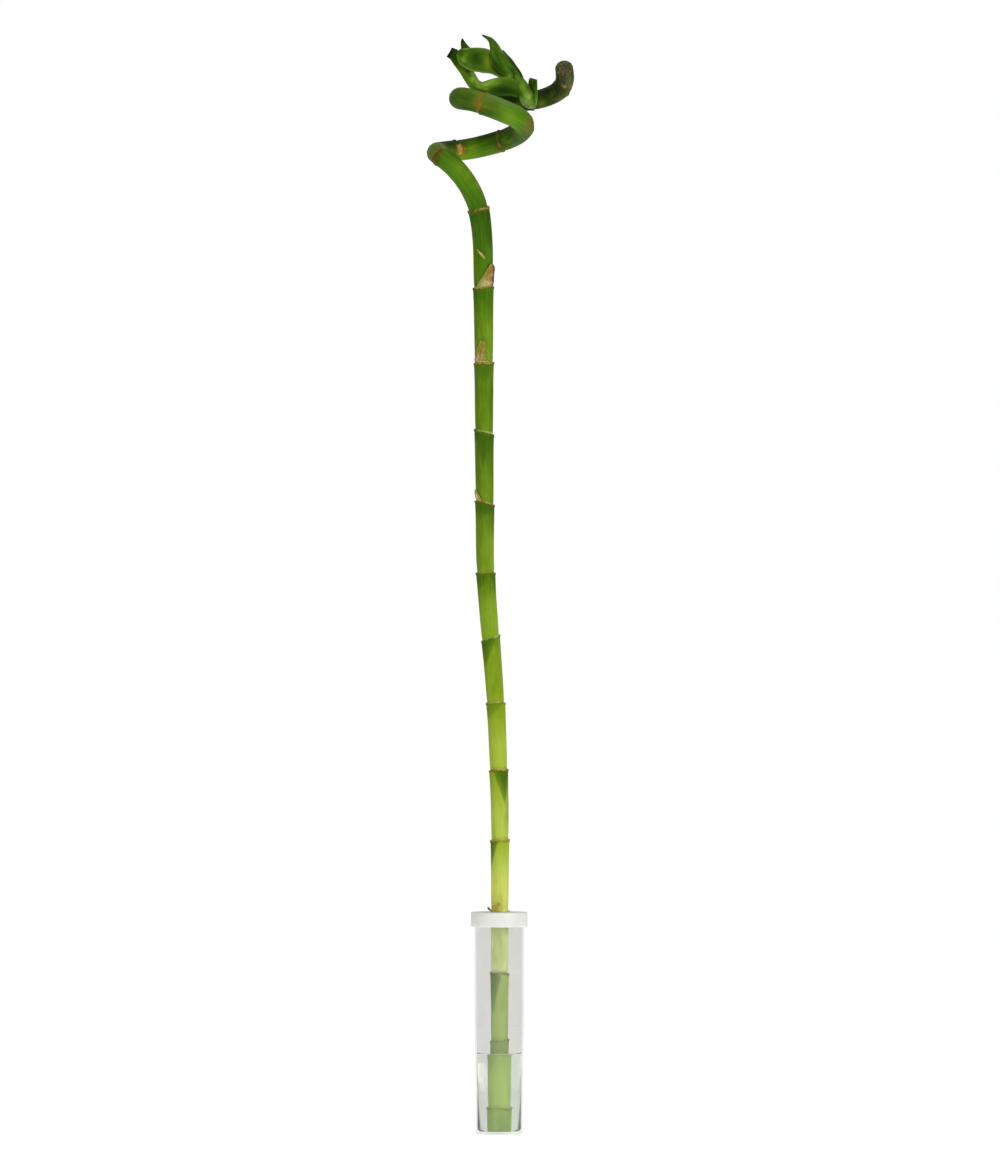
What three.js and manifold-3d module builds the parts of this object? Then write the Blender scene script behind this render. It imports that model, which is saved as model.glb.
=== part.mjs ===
// Spiral lucky bamboo in its own vase: one cut cane, trained into a coil at its top, with the one leafy
// shoot that grows from the coil, standing in water in a slim frosted tube with a white cap.
// Millimetres, +Z up, +X to the right and -Y towards the viewer. The origin is the centre of the tube's
// flat underside.
import * as THREE from "three";
import { mergeVertices } from "three/addons/utils/BufferGeometryUtils.js";
import Module from "manifold-3d";

const wasm = await Module();
wasm.setup();

// ---- driving dimensions ----

const GAP = 0.3; // between pieces that touch

const TUBE_FOOT_RADIUS = 13.2;
const TUBE_RIM_RADIUS = 13.65;
const TUBE_WALL = 1.0;
const TUBE_FLOOR = 1.5;
const TUBE_FOOT_BEVEL = 0.6;
const ROUND_SIDES = 40;

const CAP_TOP = 122; // height of the cap's flat top
const CAP_HEIGHT = 8;
const CAP_RADIUS = 15.55;
const CAP_PLATE = 1.5;
const CAP_BEVEL = 0.5;
const CAP_HOLE_RADIUS = 5.9;

const WATER_LEVEL = 44.5;

// The cane's centreline, from its foot to its cut tip: a straight stem that leans a little to the left, one
// turn of the coil that passes left, back, right and front, and a wider second turn that ends in a curl
// towards the viewer.
const CANE_FOOT = TUBE_FLOOR + GAP;
const CANE_PATH = [
  [0, 0, CANE_FOOT], [0.1, 0, 60], [0.3, 0, 122], [0.3, 0, 176],
  [-0.5, 0, 204.5], [-1.7, 0, 232], [-3.7, 0, 260], [-6.0, 0, 287],
  [-7.7, 0, 315], [-7.9, 0, 342], [-8.3, 0, 378], [-8.5, 0, 425],
  [-8.8, -0.2, 470], [-9.3, -1.2, 493], [-11.6, -3.8, 509], [-16.1, -7.0, 519.8],
  [-21.4, -9.2, 527.4], [-27.2, -8.8, 533.6], [-32.3, -4.8, 537.8], [-34.2, 3.2, 539.7],
  [-30.8, 11.4, 540.6], [-24.0, 17.4, 541.5], [-14.6, 20.8, 543.0], [-3.6, 20.0, 545.6],
  [5.4, 15.6, 548.4], [11.0, 8.4, 551.4], [13.2, -0.4, 555.2], [9.6, -9.2, 558.6],
  [1.6, -14.8, 562.0], [-7.6, -16.6, 565.4], [-15.6, -14.0, 568.0], [-20.6, -7.4, 569.2],
  [-21.6, 0.8, 569.4], [-18.2, 9.6, 569.2], [-10.6, 16.6, 568.8], [0.0, 20.2, 568.4],
  [11.0, 19.4, 568.6], [21.0, 15.6, 569.6], [29.0, 10.6, 572.0], [34.2, 4.8, 575.4],
  [36.0, -0.8, 579.6], [35.9, -5.6, 583.4], [35.6, -10.6, 585.4],
];
const CANE_SIDES = 14;

// How thick the cane is between two rings: [distance along the cane, radius].
const CANE_GIRTH = [
  [0, 4.85], [120, 4.9], [300, 5.0], [420, 5.15], [464, 5.4], [507, 5.6], [560, 5.85],
  [600, 6.1], [640, 6.3], [670, 6.2], [700, 5.8], [730, 5.4], [755, 5.3], [769, 5.1],
];

// The rings where a leaf once clasped the cane: [distance along the cane, slope of the ring across the stem].
const RINGS = [
  [13.5, 0], [49.8, 0.04], [86.7, -0.04], [121.3, 0], [159.8, 0.05], [198.3, -0.05], [235.2, 0.04],
  [271.1, 0.26], [306.9, -0.05], [345.4, -0.28], [384.5, -0.22], [422.4, 0.05], [463.9, 0], [507.3, 0],
  [545, 0], [573, 0], [600, 0], [621, 0], [656.5, 0], [696, 0], [731, 0], [752, 0],
];
const RING_RAISE = 0.45; // height of the ridge
const RING_HALF_WIDTH = 0.7; // along the cane
const STRAIGHT_SWELL = { above: 0.94, below: 1.09 }; // girth just over and just under a ring
const COIL_SWELL = { above: 0.975, below: 1.03 };
const SWELL_LENGTH = 7;
const COIL_START = 515; // distance along the cane

// Dormant buds, raised ovals just over a ring: [distance along the cane, direction it faces, height, half
// length, half width].
const BUDS = [
  [124.8, [-0.25, -1, 0], 0.5, 2.8, 2.4],
  [573.2, [0, -1, 0], 0.8, 2.9, 3.5],
];

const SHEATH_THICKNESS = 0.6; // of the dry scraps on the cane
const SHEATH_LIFT = 0.35; // of a scrap's lower face off the cane
const BLADE_THICKNESS = 0.7; // of the green leaves

// ---- solids from rings and grids of points ----

const TO_VIEWER = new THREE.Vector3(0, -1, 0);

function vector([x, y, z]) {
  return new THREE.Vector3(x, y, z);
}

function geometryOf(points, triangles) {
  const geometry = new THREE.BufferGeometry();
  const numbers = points.flatMap((p) => [p.x, p.y, p.z]);
  geometry.setAttribute("position", new THREE.Float32BufferAttribute(numbers, 3));
  geometry.setIndex(triangles);
  return geometry;
}

// A closed solid through rings of equally many points, each running counter-clockwise seen from the far end.
function loft(rings) {
  const sides = rings[0].length;
  const points = rings.flat();
  const triangles = [];
  for (let i = 0; i + 1 < rings.length; i++) {
    for (let k = 0; k < sides; k++) {
      const a = i * sides + k;
      const b = i * sides + ((k + 1) % sides);
      triangles.push(a, b, b + sides, a, b + sides, a + sides);
    }
  }
  const last = points.length - sides;
  for (let k = 1; k + 1 < sides; k++) {
    triangles.push(0, k + 1, k, last, last + k, last + k + 1);
  }
  return geometryOf(points, triangles);
}

// A closed sheet between a grid of points and the same grid moved along its normals, split alike on both faces.
function sheet(upper, lower) {
  const rows = upper.length;
  const columns = upper[0].length;
  const points = [...upper.flat(), ...lower.flat()];
  const under = rows * columns;
  const at = (i, j) => i * columns + j;
  const triangles = [];
  const wall = (a, b) => triangles.push(a, b, b + under, a, b + under, a + under);
  for (let i = 0; i + 1 < rows; i++) {
    for (let j = 0; j + 1 < columns; j++) {
      const [a, b, c, d] = [at(i, j), at(i, j + 1), at(i + 1, j + 1), at(i + 1, j)];
      triangles.push(a, b, c, a, c, d);
      triangles.push(a + under, c + under, b + under, a + under, d + under, c + under);
    }
    wall(at(i, 0), at(i + 1, 0));
    wall(at(i + 1, columns - 1), at(i, columns - 1));
  }
  for (let j = 0; j + 1 < columns; j++) {
    wall(at(0, j + 1), at(0, j));
    wall(at(rows - 1, j), at(rows - 1, j + 1));
  }
  return geometryOf(points, triangles);
}

// A round solid about the Z axis from its outline, [radius, height] points that start and end on the axis
// or close.
function turned(outline) {
  const geometry = new THREE.LatheGeometry(outline.map(([r, z]) => new THREE.Vector2(r, z)), ROUND_SIDES);
  return geometry.rotateX(Math.PI / 2);
}

const WELD = 1e-4; // points closer than this are one

function welded(geometry) {
  const bare = geometry.clone();
  bare.deleteAttribute("normal");
  bare.deleteAttribute("uv");
  const merged = mergeVertices(bare, WELD);
  const corners = Array.from(merged.index.array);
  const kept = [];
  for (let i = 0; i < corners.length; i += 3) {
    const [a, b, c] = corners.slice(i, i + 3);
    if (a !== b && b !== c && c !== a) kept.push(a, b, c);
  }
  merged.setIndex(kept);
  return merged;
}

function toManifold(geometry) {
  const merged = welded(geometry);
  const vertProperties = Float32Array.from(merged.attributes.position.array);
  const triVerts = Uint32Array.from(merged.index.array);
  return new wasm.Manifold(new wasm.Mesh({ numProp: 3, vertProperties, triVerts }));
}

function fromManifold(solid) {
  const mesh = solid.getMesh();
  const geometry = new THREE.BufferGeometry();
  geometry.setAttribute("position", new THREE.Float32BufferAttribute(mesh.vertProperties, 3));
  geometry.setIndex(Array.from(mesh.triVerts));
  return geometry;
}

// ---- the cane's own coordinates: a distance along it, and an angle round it ----

const canePath = new THREE.CatmullRomCurve3(CANE_PATH.map(vector), false, "centripetal");
canePath.arcLengthDivisions = 3000;
const CANE_LENGTH = canePath.getLength();
const FRAME_STEPS = 1500;

const caneFrames = [];
for (let i = 0; i <= FRAME_STEPS; i++) {
  const centre = canePath.getPointAt(i / FRAME_STEPS);
  const ahead = canePath.getTangentAt(i / FRAME_STEPS);
  const before = i ? caneFrames[i - 1].right : new THREE.Vector3(1, 0, 0);
  const right = before.clone().addScaledVector(ahead, -before.dot(ahead)).normalize();
  const back = new THREE.Vector3().crossVectors(ahead, right);
  caneFrames.push({ centre, ahead, right, back });
}

function caneFrame(distance) {
  const i = Math.round((distance / CANE_LENGTH) * FRAME_STEPS);
  return caneFrames[THREE.MathUtils.clamp(i, 0, FRAME_STEPS)];
}

// The angle round the cane at which its surface faces a direction.
function angleFacing(distance, direction) {
  const { right, back } = caneFrame(distance);
  return Math.atan2(direction.dot(back), direction.dot(right));
}

function between(table, distance) {
  const next = table.findIndex(([at]) => at > distance);
  if (next === 0) return table[0][1];
  if (next < 0) return table[table.length - 1][1];
  const [[from, a], [to, b]] = [table[next - 1], table[next]];
  return a + ((b - a) * (distance - from)) / (to - from);
}

function caneRadius(distance, angle) {
  const swell = distance < COIL_START ? STRAIGHT_SWELL : COIL_SWELL;
  const under = Math.min(...RINGS.map(([at]) => (at >= distance ? at - distance : Infinity)));
  const over = Math.min(...RINGS.map(([at]) => (at < distance ? distance - at : Infinity)));
  const ridge = RING_RAISE * Math.exp(-((Math.min(under, over) / RING_HALF_WIDTH) ** 2));
  let factor = 1 + (swell.below - 1) * Math.exp(-under / SWELL_LENGTH);
  factor += (swell.above - 1) * Math.exp(-over / SWELL_LENGTH);
  let bump = 0;
  for (const [at, facing, height, halfLength, halfWidth] of BUDS) {
    const round = angle - angleFacing(at, vector(facing));
    const across = (Math.atan2(Math.sin(round), Math.cos(round)) * between(CANE_GIRTH, at)) / halfWidth;
    const along = (distance - at) / halfLength;
    bump += height * Math.max(0, 1 - across ** 2 - along ** 2);
  }
  return between(CANE_GIRTH, distance) * factor + ridge + bump;
}

// A point on the cane, lifted off its surface by lift. Rings and all between them slope as the nearest
// rings do.
function onCane(distance, angle, lift = 0) {
  const { centre, ahead, right, back } = caneFrame(distance);
  const radius = caneRadius(distance, angle) + lift;
  const x = Math.cos(angle) * radius;
  const lean = between(RINGS, distance) * x;
  return centre.clone().addScaledVector(right, x).addScaledVector(back, Math.sin(angle) * radius)
    .addScaledVector(ahead, lean);
}

// ---- cane ----

// The cane's cross-sections stand at the ends, round each ring and bud, and evenly in between, closer where
// it bends.
const RING_STATIONS = [-5, -1.2, -0.45, 0.45, 1.2, 5]; // from a ring, along the cane
const BUD_STATIONS = [-0.6, 0, 0.6]; // from a bud, in half lengths
const STRAIGHT_STEP = 13;
const BEND_STEP = 5;
const BEND_START = 480;
const CLOSEST_STATIONS = 0.3;
const END_BEVEL = 0.5;

function caneStations() {
  const stations = new Set([0, END_BEVEL, CANE_LENGTH - END_BEVEL, CANE_LENGTH]);
  for (const [at] of RINGS) RING_STATIONS.forEach((offset) => stations.add(at + offset));
  for (const [at, , , halfLength] of BUDS) BUD_STATIONS.forEach((part) => stations.add(at + part * halfLength));
  const sorted = [...stations].sort((a, b) => a - b);
  const filled = [];
  sorted.forEach((from, i) => {
    filled.push(from);
    if (i + 1 === sorted.length) return;
    const room = sorted[i + 1] - from;
    const pieces = Math.ceil(room / (from < BEND_START ? STRAIGHT_STEP : BEND_STEP));
    for (let k = 1; k < pieces; k++) filled.push(from + (room * k) / pieces);
  });
  return filled.filter((at, i) => i === 0 || at - filled[i - 1] > CLOSEST_STATIONS);
}

function caneGeometry(lift = 0, from = 0, to = CANE_LENGTH) {
  const rings = caneStations().filter((at) => at >= from && at <= to).map((at) => {
    const end = lift === 0 && (at === 0 || at === CANE_LENGTH) ? -END_BEVEL : 0;
    return Array.from({ length: CANE_SIDES }, (_, k) => onCane(at, (k / CANE_SIDES) * 2 * Math.PI, lift + end));
  });
  return loft(rings);
}

// ---- dry sheath scraps ----

// A thin curved scrap on the cane. Each row is [distance along the cane, angle from, angle to, lift], in
// millimetres and in degrees round the cane from its right side through its back.
function scrap(rows, columns) {
  const grid = (lift) => rows.map(([distance, from, to, raise = 0]) =>
    Array.from({ length: columns + 1 }, (_, j) => {
      const angle = THREE.MathUtils.degToRad(from + ((to - from) * j) / columns);
      return onCane(distance, angle, SHEATH_LIFT + raise + lift);
    }));
  return sheet(grid(SHEATH_THICKNESS), grid(0));
}

const UPPER_SCRAP = [
  [464.2, -134, 34], [466.6, -118, 28], [469.6, -98, 20], [472.4, -78, 6], [475, -64, -12, 0.2],
  [477, -54, -34, 0.4],
];
const SLIVER_SCRAP = [
  [479.4, -84, -76], [480.8, -98, -80], [482.2, -107, -90], [483.6, -114, -102], [485, -120, -115],
];
const MIDDLE_SCRAP = [
  [422.8, -165, -50], [423.8, -156, -74], [425.4, -148, -82, 0.2], [428.5, -134, -80], [432, -118, -78, 0.2],
  [435, -108, -82, 0.2],
];
const LOWER_SCRAP = [
  [345.8, -160, -100], [347.5, -158, -116, 0.2], [349.5, -154, -128, 0.3], [351.5, -150, -140, 0.4],
];
const FOOT_SCRAP = [
  [121.1, 150, 212], [122.1, 156, 206, 0.7], [123.0, 168, 196, 1.5],
];

// ---- leafy shoot ----

// The short stem: [x, y, z, radius], from inside the cane to its growing tip.
const SHOOT_STEM = [
  [18.4, 14.5, 567.8, 3.0], [17.4, 10.4, 567.4, 3.2], [15.8, 7.2, 568.8, 4.2], [14.2, 5.4, 571.8, 3.8],
  [12.4, 4.2, 575.4, 3.2], [10.6, 3.6, 579.2, 2.7], [8.8, 3.2, 583.0, 1.9], [7.4, 3.0, 586.0, 0.9],
];

// Each leaf: its midrib as rows of [x, y, z, half width, turn], where turn is how far its right edge is swung
// towards the viewer, in degrees. cup bends its edges towards the viewer, fold creases it along the midrib.
const LEAVES = [
  { // the tallest, creased, with its tip curled to the left
    rows: [
      [10.4, 3.4, 578.0, 2.4, 0], [7.0, 0.8, 582.4, 3.6, 0], [3.2, -2.0, 586.4, 4.3, 0],
      [0.4, -3.2, 590.2, 4.4, 0], [-1.6, -3.0, 594.4, 3.8, 0], [-2.8, -2.2, 598.0, 2.7, 0],
      [-4.9, -1.2, 601.6, 1.5, 0], [-9.5, 0, 604.4, 0.35, 0],
    ],
    fold: -0.55,
  },
  { // a narrower one behind it
    rows: [
      [12.2, 5.6, 577.0, 2.4, 0], [10.2, 5.8, 581.8, 2.6, -10], [7.0, 6.4, 587.2, 2.4, -18],
      [4.2, 7.0, 592.0, 1.7, -20], [1.8, 7.6, 596.4, 0.35, -20],
    ],
    cup: 0.2,
  },
  { // the broad one that reaches left
    rows: [
      [7.6, 3.4, 580.0, 2.4, 0], [1.0, 2.6, 585.6, 4.4, 0], [-4.4, 1.4, 588.9, 6.0, 0],
      [-9.4, -0.4, 590.3, 6.8, 0], [-14.4, -1.8, 590.9, 6.6, 0], [-18.9, -2.4, 592.5, 5.2, 0],
      [-22.7, -2.0, 595.0, 1.9, 0],
    ],
    cup: 0.25,
  },
  { // the long one that arches down over the coil and turns up again at the far left
    rows: [
      [11.0, 2.6, 573.2, 3.4, 0], [6.4, -0.6, 575.8, 4.8, 10], [1.0, -3.0, 576.2, 5.2, 16],
      [-4.6, -4.4, 575.5, 5.0, 20], [-9.4, -4.6, 575.1, 4.1, 24], [-13.1, -3.0, 577.0, 3.5, 14],
      [-16.0, -1.2, 581.0, 3.5, 6], [-18.9, 0.4, 585.8, 3.6, 0], [-22.0, 1.2, 590.0, 3.6, 0],
      [-24.6, 1.6, 593.3, 3.4, 0], [-27.5, 1.8, 595.0, 2.9, 0],
    ],
    cup: 0.3,
  },
  { // a small one behind, of which only the tip shows
    rows: [
      [8.0, 4.6, 580.0, 2.2, 0], [-0.6, 6.4, 585.0, 3.2, 0], [-8.4, 7.4, 589.4, 3.4, 0],
      [-15.2, 7.8, 593.2, 3.2, 0], [-18.6, 7.6, 597.2, 2.4, 0], [-20.0, 7.4, 600.6, 1.3, 0],
      [-20.4, 7.2, 602.8, 0.35, 0],
    ],
    cup: 0.2,
  },
  { // the outer sheath, wrapped round the stem
    rows: [
      [17.6, 6.6, 565.0, 1.8, 0], [16.0, 3.6, 567.8, 3.4, 0], [14.6, 1.6, 571.6, 3.9, 0],
      [12.6, 0.4, 575.4, 3.9, 0], [10.6, -0.4, 579.0, 3.1, 0], [8.4, -0.8, 582.0, 0.9, 0],
    ],
    cup: -0.6,
  },
  { // the small upright sheath on the right
    rows: [
      [18.9, 8.2, 566.2, 1.6, 0], [19.4, 7.4, 569.4, 1.6, 0], [19.2, 6.8, 573.0, 1.9, 0],
      [18.5, 6.6, 577.0, 2.5, 0], [18.6, 6.6, 579.6, 2.4, 0], [18.9, 6.6, 580.7, 2.0, 0],
    ],
    cup: -0.25,
  },
];
const BLADE_STEPS_PER_ROW = 2;
const BLADE_COLUMNS = 4;
const STEM_STEPS_PER_ROW = 2;
const STEM_SIDES = 10;

function blade({ rows, cup = 0, fold = 0 }) {
  const midrib = new THREE.CatmullRomCurve3(rows.map(vector), false, "centripetal");
  const widths = rows.map(([, , , half, turn]) => new THREE.Vector3(half, turn, 0));
  const breadth = new THREE.CatmullRomCurve3(widths);
  const steps = (rows.length - 1) * BLADE_STEPS_PER_ROW;
  const upper = [];
  const lower = [];
  for (let i = 0; i <= steps; i++) {
    const centre = midrib.getPoint(i / steps);
    const ahead = midrib.getTangent(i / steps);
    const { x: half, y: turn } = breadth.getPoint(i / steps);
    const flatSide = new THREE.Vector3().crossVectors(ahead, TO_VIEWER).normalize();
    const side = flatSide.applyAxisAngle(ahead, -THREE.MathUtils.degToRad(turn));
    const face = new THREE.Vector3().crossVectors(side, ahead);
    upper.push([]);
    lower.push([]);
    for (let j = 0; j <= BLADE_COLUMNS; j++) {
      const across = (2 * j) / BLADE_COLUMNS - 1;
      const rise = half * (cup * across ** 2 + fold * Math.abs(across));
      const middle = centre.clone().addScaledVector(side, half * across).addScaledVector(face, rise);
      upper[i].push(middle.clone().addScaledVector(face, BLADE_THICKNESS / 2));
      lower[i].push(middle.clone().addScaledVector(face, -BLADE_THICKNESS / 2));
    }
  }
  return sheet(upper, lower);
}

function shootStem() {
  const path = new THREE.CatmullRomCurve3(SHOOT_STEM.map(vector), false, "centripetal");
  const steps = (SHOOT_STEM.length - 1) * STEM_STEPS_PER_ROW;
  const rings = [];
  for (let i = 0; i <= steps; i++) {
    const centre = path.getPoint(i / steps);
    const ahead = path.getTangent(i / steps);
    const side = new THREE.Vector3(1, 0, 0).addScaledVector(ahead, -ahead.x).normalize();
    const back = new THREE.Vector3().crossVectors(ahead, side);
    const row = (i / steps) * (SHOOT_STEM.length - 1);
    const radius = between(SHOOT_STEM.map(([, , , r], k) => [k, r]), row);
    rings.push(Array.from({ length: STEM_SIDES }, (_, k) => {
      const angle = (k / STEM_SIDES) * 2 * Math.PI;
      return centre.clone().addScaledVector(side, radius * Math.cos(angle))
        .addScaledVector(back, radius * Math.sin(angle));
    }));
  }
  return loft(rings);
}

// Stem and leaves in one, cut back from the coil so that the shoot sits on its ring.
function leafyShoot() {
  let solid = toManifold(shootStem());
  for (const leaf of LEAVES) solid = solid.add(toManifold(blade(leaf)));
  return fromManifold(solid.subtract(toManifold(caneGeometry(GAP, COIL_START))));
}

// ---- tube, cap and water ----

const TUBE_RIM = CAP_TOP - CAP_PLATE - GAP;

function tubeRadius(height) {
  return TUBE_FOOT_RADIUS + ((TUBE_RIM_RADIUS - TUBE_FOOT_RADIUS) * height) / TUBE_RIM;
}

const tubeOutline = [
  [0, 0],
  [TUBE_FOOT_RADIUS - TUBE_FOOT_BEVEL, 0],
  [tubeRadius(TUBE_FOOT_BEVEL), TUBE_FOOT_BEVEL],
  [TUBE_RIM_RADIUS, TUBE_RIM],
  [TUBE_RIM_RADIUS - TUBE_WALL, TUBE_RIM],
  [tubeRadius(TUBE_FLOOR) - TUBE_WALL, TUBE_FLOOR],
  [0, TUBE_FLOOR],
];

const CAP_SKIRT_RADIUS = TUBE_RIM_RADIUS + GAP;
const capOutline = [
  [CAP_HOLE_RADIUS, CAP_TOP - CAP_PLATE],
  [CAP_SKIRT_RADIUS, CAP_TOP - CAP_PLATE],
  [CAP_SKIRT_RADIUS, CAP_TOP - CAP_HEIGHT],
  [CAP_RADIUS, CAP_TOP - CAP_HEIGHT],
  [CAP_RADIUS, CAP_TOP - CAP_BEVEL],
  [CAP_RADIUS - CAP_BEVEL, CAP_TOP],
  [CAP_HOLE_RADIUS, CAP_TOP],
  [CAP_HOLE_RADIUS, CAP_TOP - CAP_PLATE],
];

const WATER_HOLE_RADIUS = 6.2; // clear of the cane's widest ring in the water
const waterOutline = [
  [WATER_HOLE_RADIUS, TUBE_FLOOR + GAP],
  [tubeRadius(TUBE_FLOOR) - TUBE_WALL - GAP, TUBE_FLOOR + GAP],
  [tubeRadius(WATER_LEVEL) - TUBE_WALL - GAP, WATER_LEVEL],
  [WATER_HOLE_RADIUS, WATER_LEVEL],
  [WATER_HOLE_RADIUS, TUBE_FLOOR + GAP],
];

// ---- the assembled plant ----

const plant = new THREE.Group();

function add(name, geometry, color, roughness, extra = {}) {
  const material = new THREE.MeshStandardMaterial({ color, roughness, metalness: 0, ...extra });
  const mesh = new THREE.Mesh(welded(geometry), material);
  mesh.name = name;
  plant.add(mesh);
}

const DRY_SHEATH = "#b98f5e";

add("tube", turned(tubeOutline), "#d6d9d6", 0.55, { transparent: true, opacity: 0.5 });
add("cap", turned(capOutline), "#f2f3f1", 0.45);
add("water", turned(waterOutline), "#dfe8df", 0.05, { transparent: true, opacity: 0.3 });
add("cane", caneGeometry(), "#4f8a1e", 0.4);
add("leafy_shoot", leafyShoot(), "#3f8f24", 0.35);
add("dry_sheath_upper", scrap(UPPER_SCRAP, 6), DRY_SHEATH, 0.85);
add("dry_sheath_sliver", scrap(SLIVER_SCRAP, 2), DRY_SHEATH, 0.85);
add("dry_sheath_middle", scrap(MIDDLE_SCRAP, 6), DRY_SHEATH, 0.85);
add("dry_sheath_lower", scrap(LOWER_SCRAP, 4), DRY_SHEATH, 0.85);
add("dry_sheath_foot", scrap(FOOT_SCRAP, 3), DRY_SHEATH, 0.85);

export default plant;
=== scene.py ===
"""Spiral lucky bamboo in its vase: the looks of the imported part.

One cut cane stands in water in a slim frosted tube with a white cap. The sections follow the real thing as
it is put together: tube, water, cane, cap, the dry scraps left on the cane, the leafy shoot, and last the
studio. Sizes are in millimetres, heights are from the tube's flat underside, and -Y is towards the viewer.
"""

import math

import bmesh
import bpy
import numpy as np
from mathutils import Matrix, Vector, noise


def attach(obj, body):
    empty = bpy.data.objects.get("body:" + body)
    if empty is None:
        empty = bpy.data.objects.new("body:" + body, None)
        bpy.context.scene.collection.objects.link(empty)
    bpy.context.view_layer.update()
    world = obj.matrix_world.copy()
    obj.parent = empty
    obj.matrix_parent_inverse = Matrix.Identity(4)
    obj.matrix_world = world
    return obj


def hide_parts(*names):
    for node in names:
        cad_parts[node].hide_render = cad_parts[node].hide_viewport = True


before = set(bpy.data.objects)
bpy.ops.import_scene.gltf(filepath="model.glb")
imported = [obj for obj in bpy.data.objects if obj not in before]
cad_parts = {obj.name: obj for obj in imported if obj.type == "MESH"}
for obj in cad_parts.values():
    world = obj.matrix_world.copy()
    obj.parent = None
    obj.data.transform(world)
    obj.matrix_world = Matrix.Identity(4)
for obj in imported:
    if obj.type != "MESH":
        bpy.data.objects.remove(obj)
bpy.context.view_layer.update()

# ---- Tube ----
# A slim vase moulded in one piece from polypropylene, frosted all through, a little wider at its rim than at
# its foot. It stands on a flat foot and holds the water and the cane.

MM = 0.001
TUBE_FOOT_RADIUS = 13.2
TUBE_RIM_RADIUS = 13.65
TUBE_WALL = 1.0
TUBE_FLOOR = 1.5
TUBE_RIM = 120.2
ROUND_SIDES = 120


def tube_radius(height):
    """The tube's outer radius at a height."""
    return TUBE_FOOT_RADIUS + (TUBE_RIM_RADIUS - TUBE_FOOT_RADIUS) * height / TUBE_RIM


def rounded(corners, steps=5):
    """The outline through (radius, height, rounding) corners, each one rounded."""
    line = []
    for i, (radius, height, rounding) in enumerate(corners):
        corner = Vector((radius, height))
        if not rounding:
            line.append(corner)
            continue
        before = (Vector(corners[i - 1][:2]) - corner).normalized()
        after = (Vector(corners[(i + 1) % len(corners)][:2]) - corner).normalized()
        half = before.angle(after) / 2
        centre = corner + (before + after).normalized() * rounding / math.sin(half)
        start = corner + before * rounding / math.tan(half) - centre
        end = corner + after * rounding / math.tan(half) - centre
        turn = start.angle(end)
        for k in range(steps + 1):
            part = k / steps * turn
            line.append(centre + (start * math.sin(turn - part) + end * math.sin(part)) / math.sin(turn))
    return line


def turned(outline, closed):
    """A round body about the Z axis. An outline that isn't closed starts and ends on the axis."""
    body = bmesh.new()
    rings = []
    for radius, height in outline:
        count = ROUND_SIDES if radius > 1e-6 else 1
        turns = [2 * math.pi * k / ROUND_SIDES for k in range(count)]
        rings.append([body.verts.new((radius * math.cos(a), radius * math.sin(a), height)) for a in turns])
    for lower, upper in zip(rings, rings[1:] + rings[:1] if closed else rings[1:]):
        for k in range(ROUND_SIDES):
            n = (k + 1) % ROUND_SIDES
            if len(lower) == 1:
                body.faces.new((lower[0], upper[n], upper[k]))
            elif len(upper) == 1:
                body.faces.new((lower[k], lower[n], upper[0]))
            else:
                body.faces.new((lower[k], lower[n], upper[n], upper[k]))
    bmesh.ops.recalc_face_normals(body, faces=body.faces)
    return body


def object_of(name, body, material):
    """An object made of a body in millimetres."""
    mesh = bpy.data.meshes.new(name)
    body.transform(Matrix.Scale(MM, 4))
    body.to_mesh(mesh)
    body.free()
    mesh.materials.append(material)
    made = bpy.data.objects.new(name, mesh)
    bpy.context.scene.collection.objects.link(made)
    return made


def piece(name, body, material, node, sharp=180):
    """A smooth object that stands for a CAD node. Its edges sharper than so many degrees stay crisp."""
    made = object_of(name, body, material)
    made.data.shade_smooth()
    if sharp < 180:
        made.data.set_sharp_from_angle(angle=math.radians(sharp))
    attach(made, "root")
    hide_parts(node)
    return made


def linear(code):
    """An sRGB hex colour as the linear one that shaders take."""
    parts = [int(code[i : i + 2], 16) / 255 for i in (1, 3, 5)]
    return (*[c / 12.92 if c <= 0.04045 else ((c + 0.055) / 1.055) ** 2.4 for c in parts], 1)


def new_material(name):
    """An empty node material, and the tree that its nodes go in."""
    made = bpy.data.materials.new(name)
    made.use_nodes = True
    made.node_tree.nodes.clear()
    return made, made.node_tree


def live(sockets, name=None):
    """The first socket that is in use, of that name if one is given."""
    return next(socket for socket in sockets if socket.enabled and name in (None, socket.name))


def add(tree, kind, sockets=None, stops=None, **settings):
    """Adds a node. sockets gives each input's value, or the node or output that feeds it.

    Inputs go by name, or by number where several share one. stops are a ramp's places and colours.
    """
    new = tree.nodes.new("ShaderNode" + kind)
    for setting, value in settings.items():
        setattr(new, setting, value)
    for name, value in (sockets or {}).items():
        into = new.inputs[name] if isinstance(name, int) else live(new.inputs, name)
        if isinstance(value, bpy.types.Node):
            value = live(value.outputs)
        if isinstance(value, bpy.types.NodeSocket):
            tree.links.new(value, into)
        else:
            into.default_value = value
    if stops:
        ramp = new.color_ramp.elements
        ramp.remove(ramp[1])
        for i, (place, code) in enumerate(stops):
            stop = ramp.new(place) if i else ramp[0]
            stop.position = place
            stop.color = linear(code)
    return new


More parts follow.
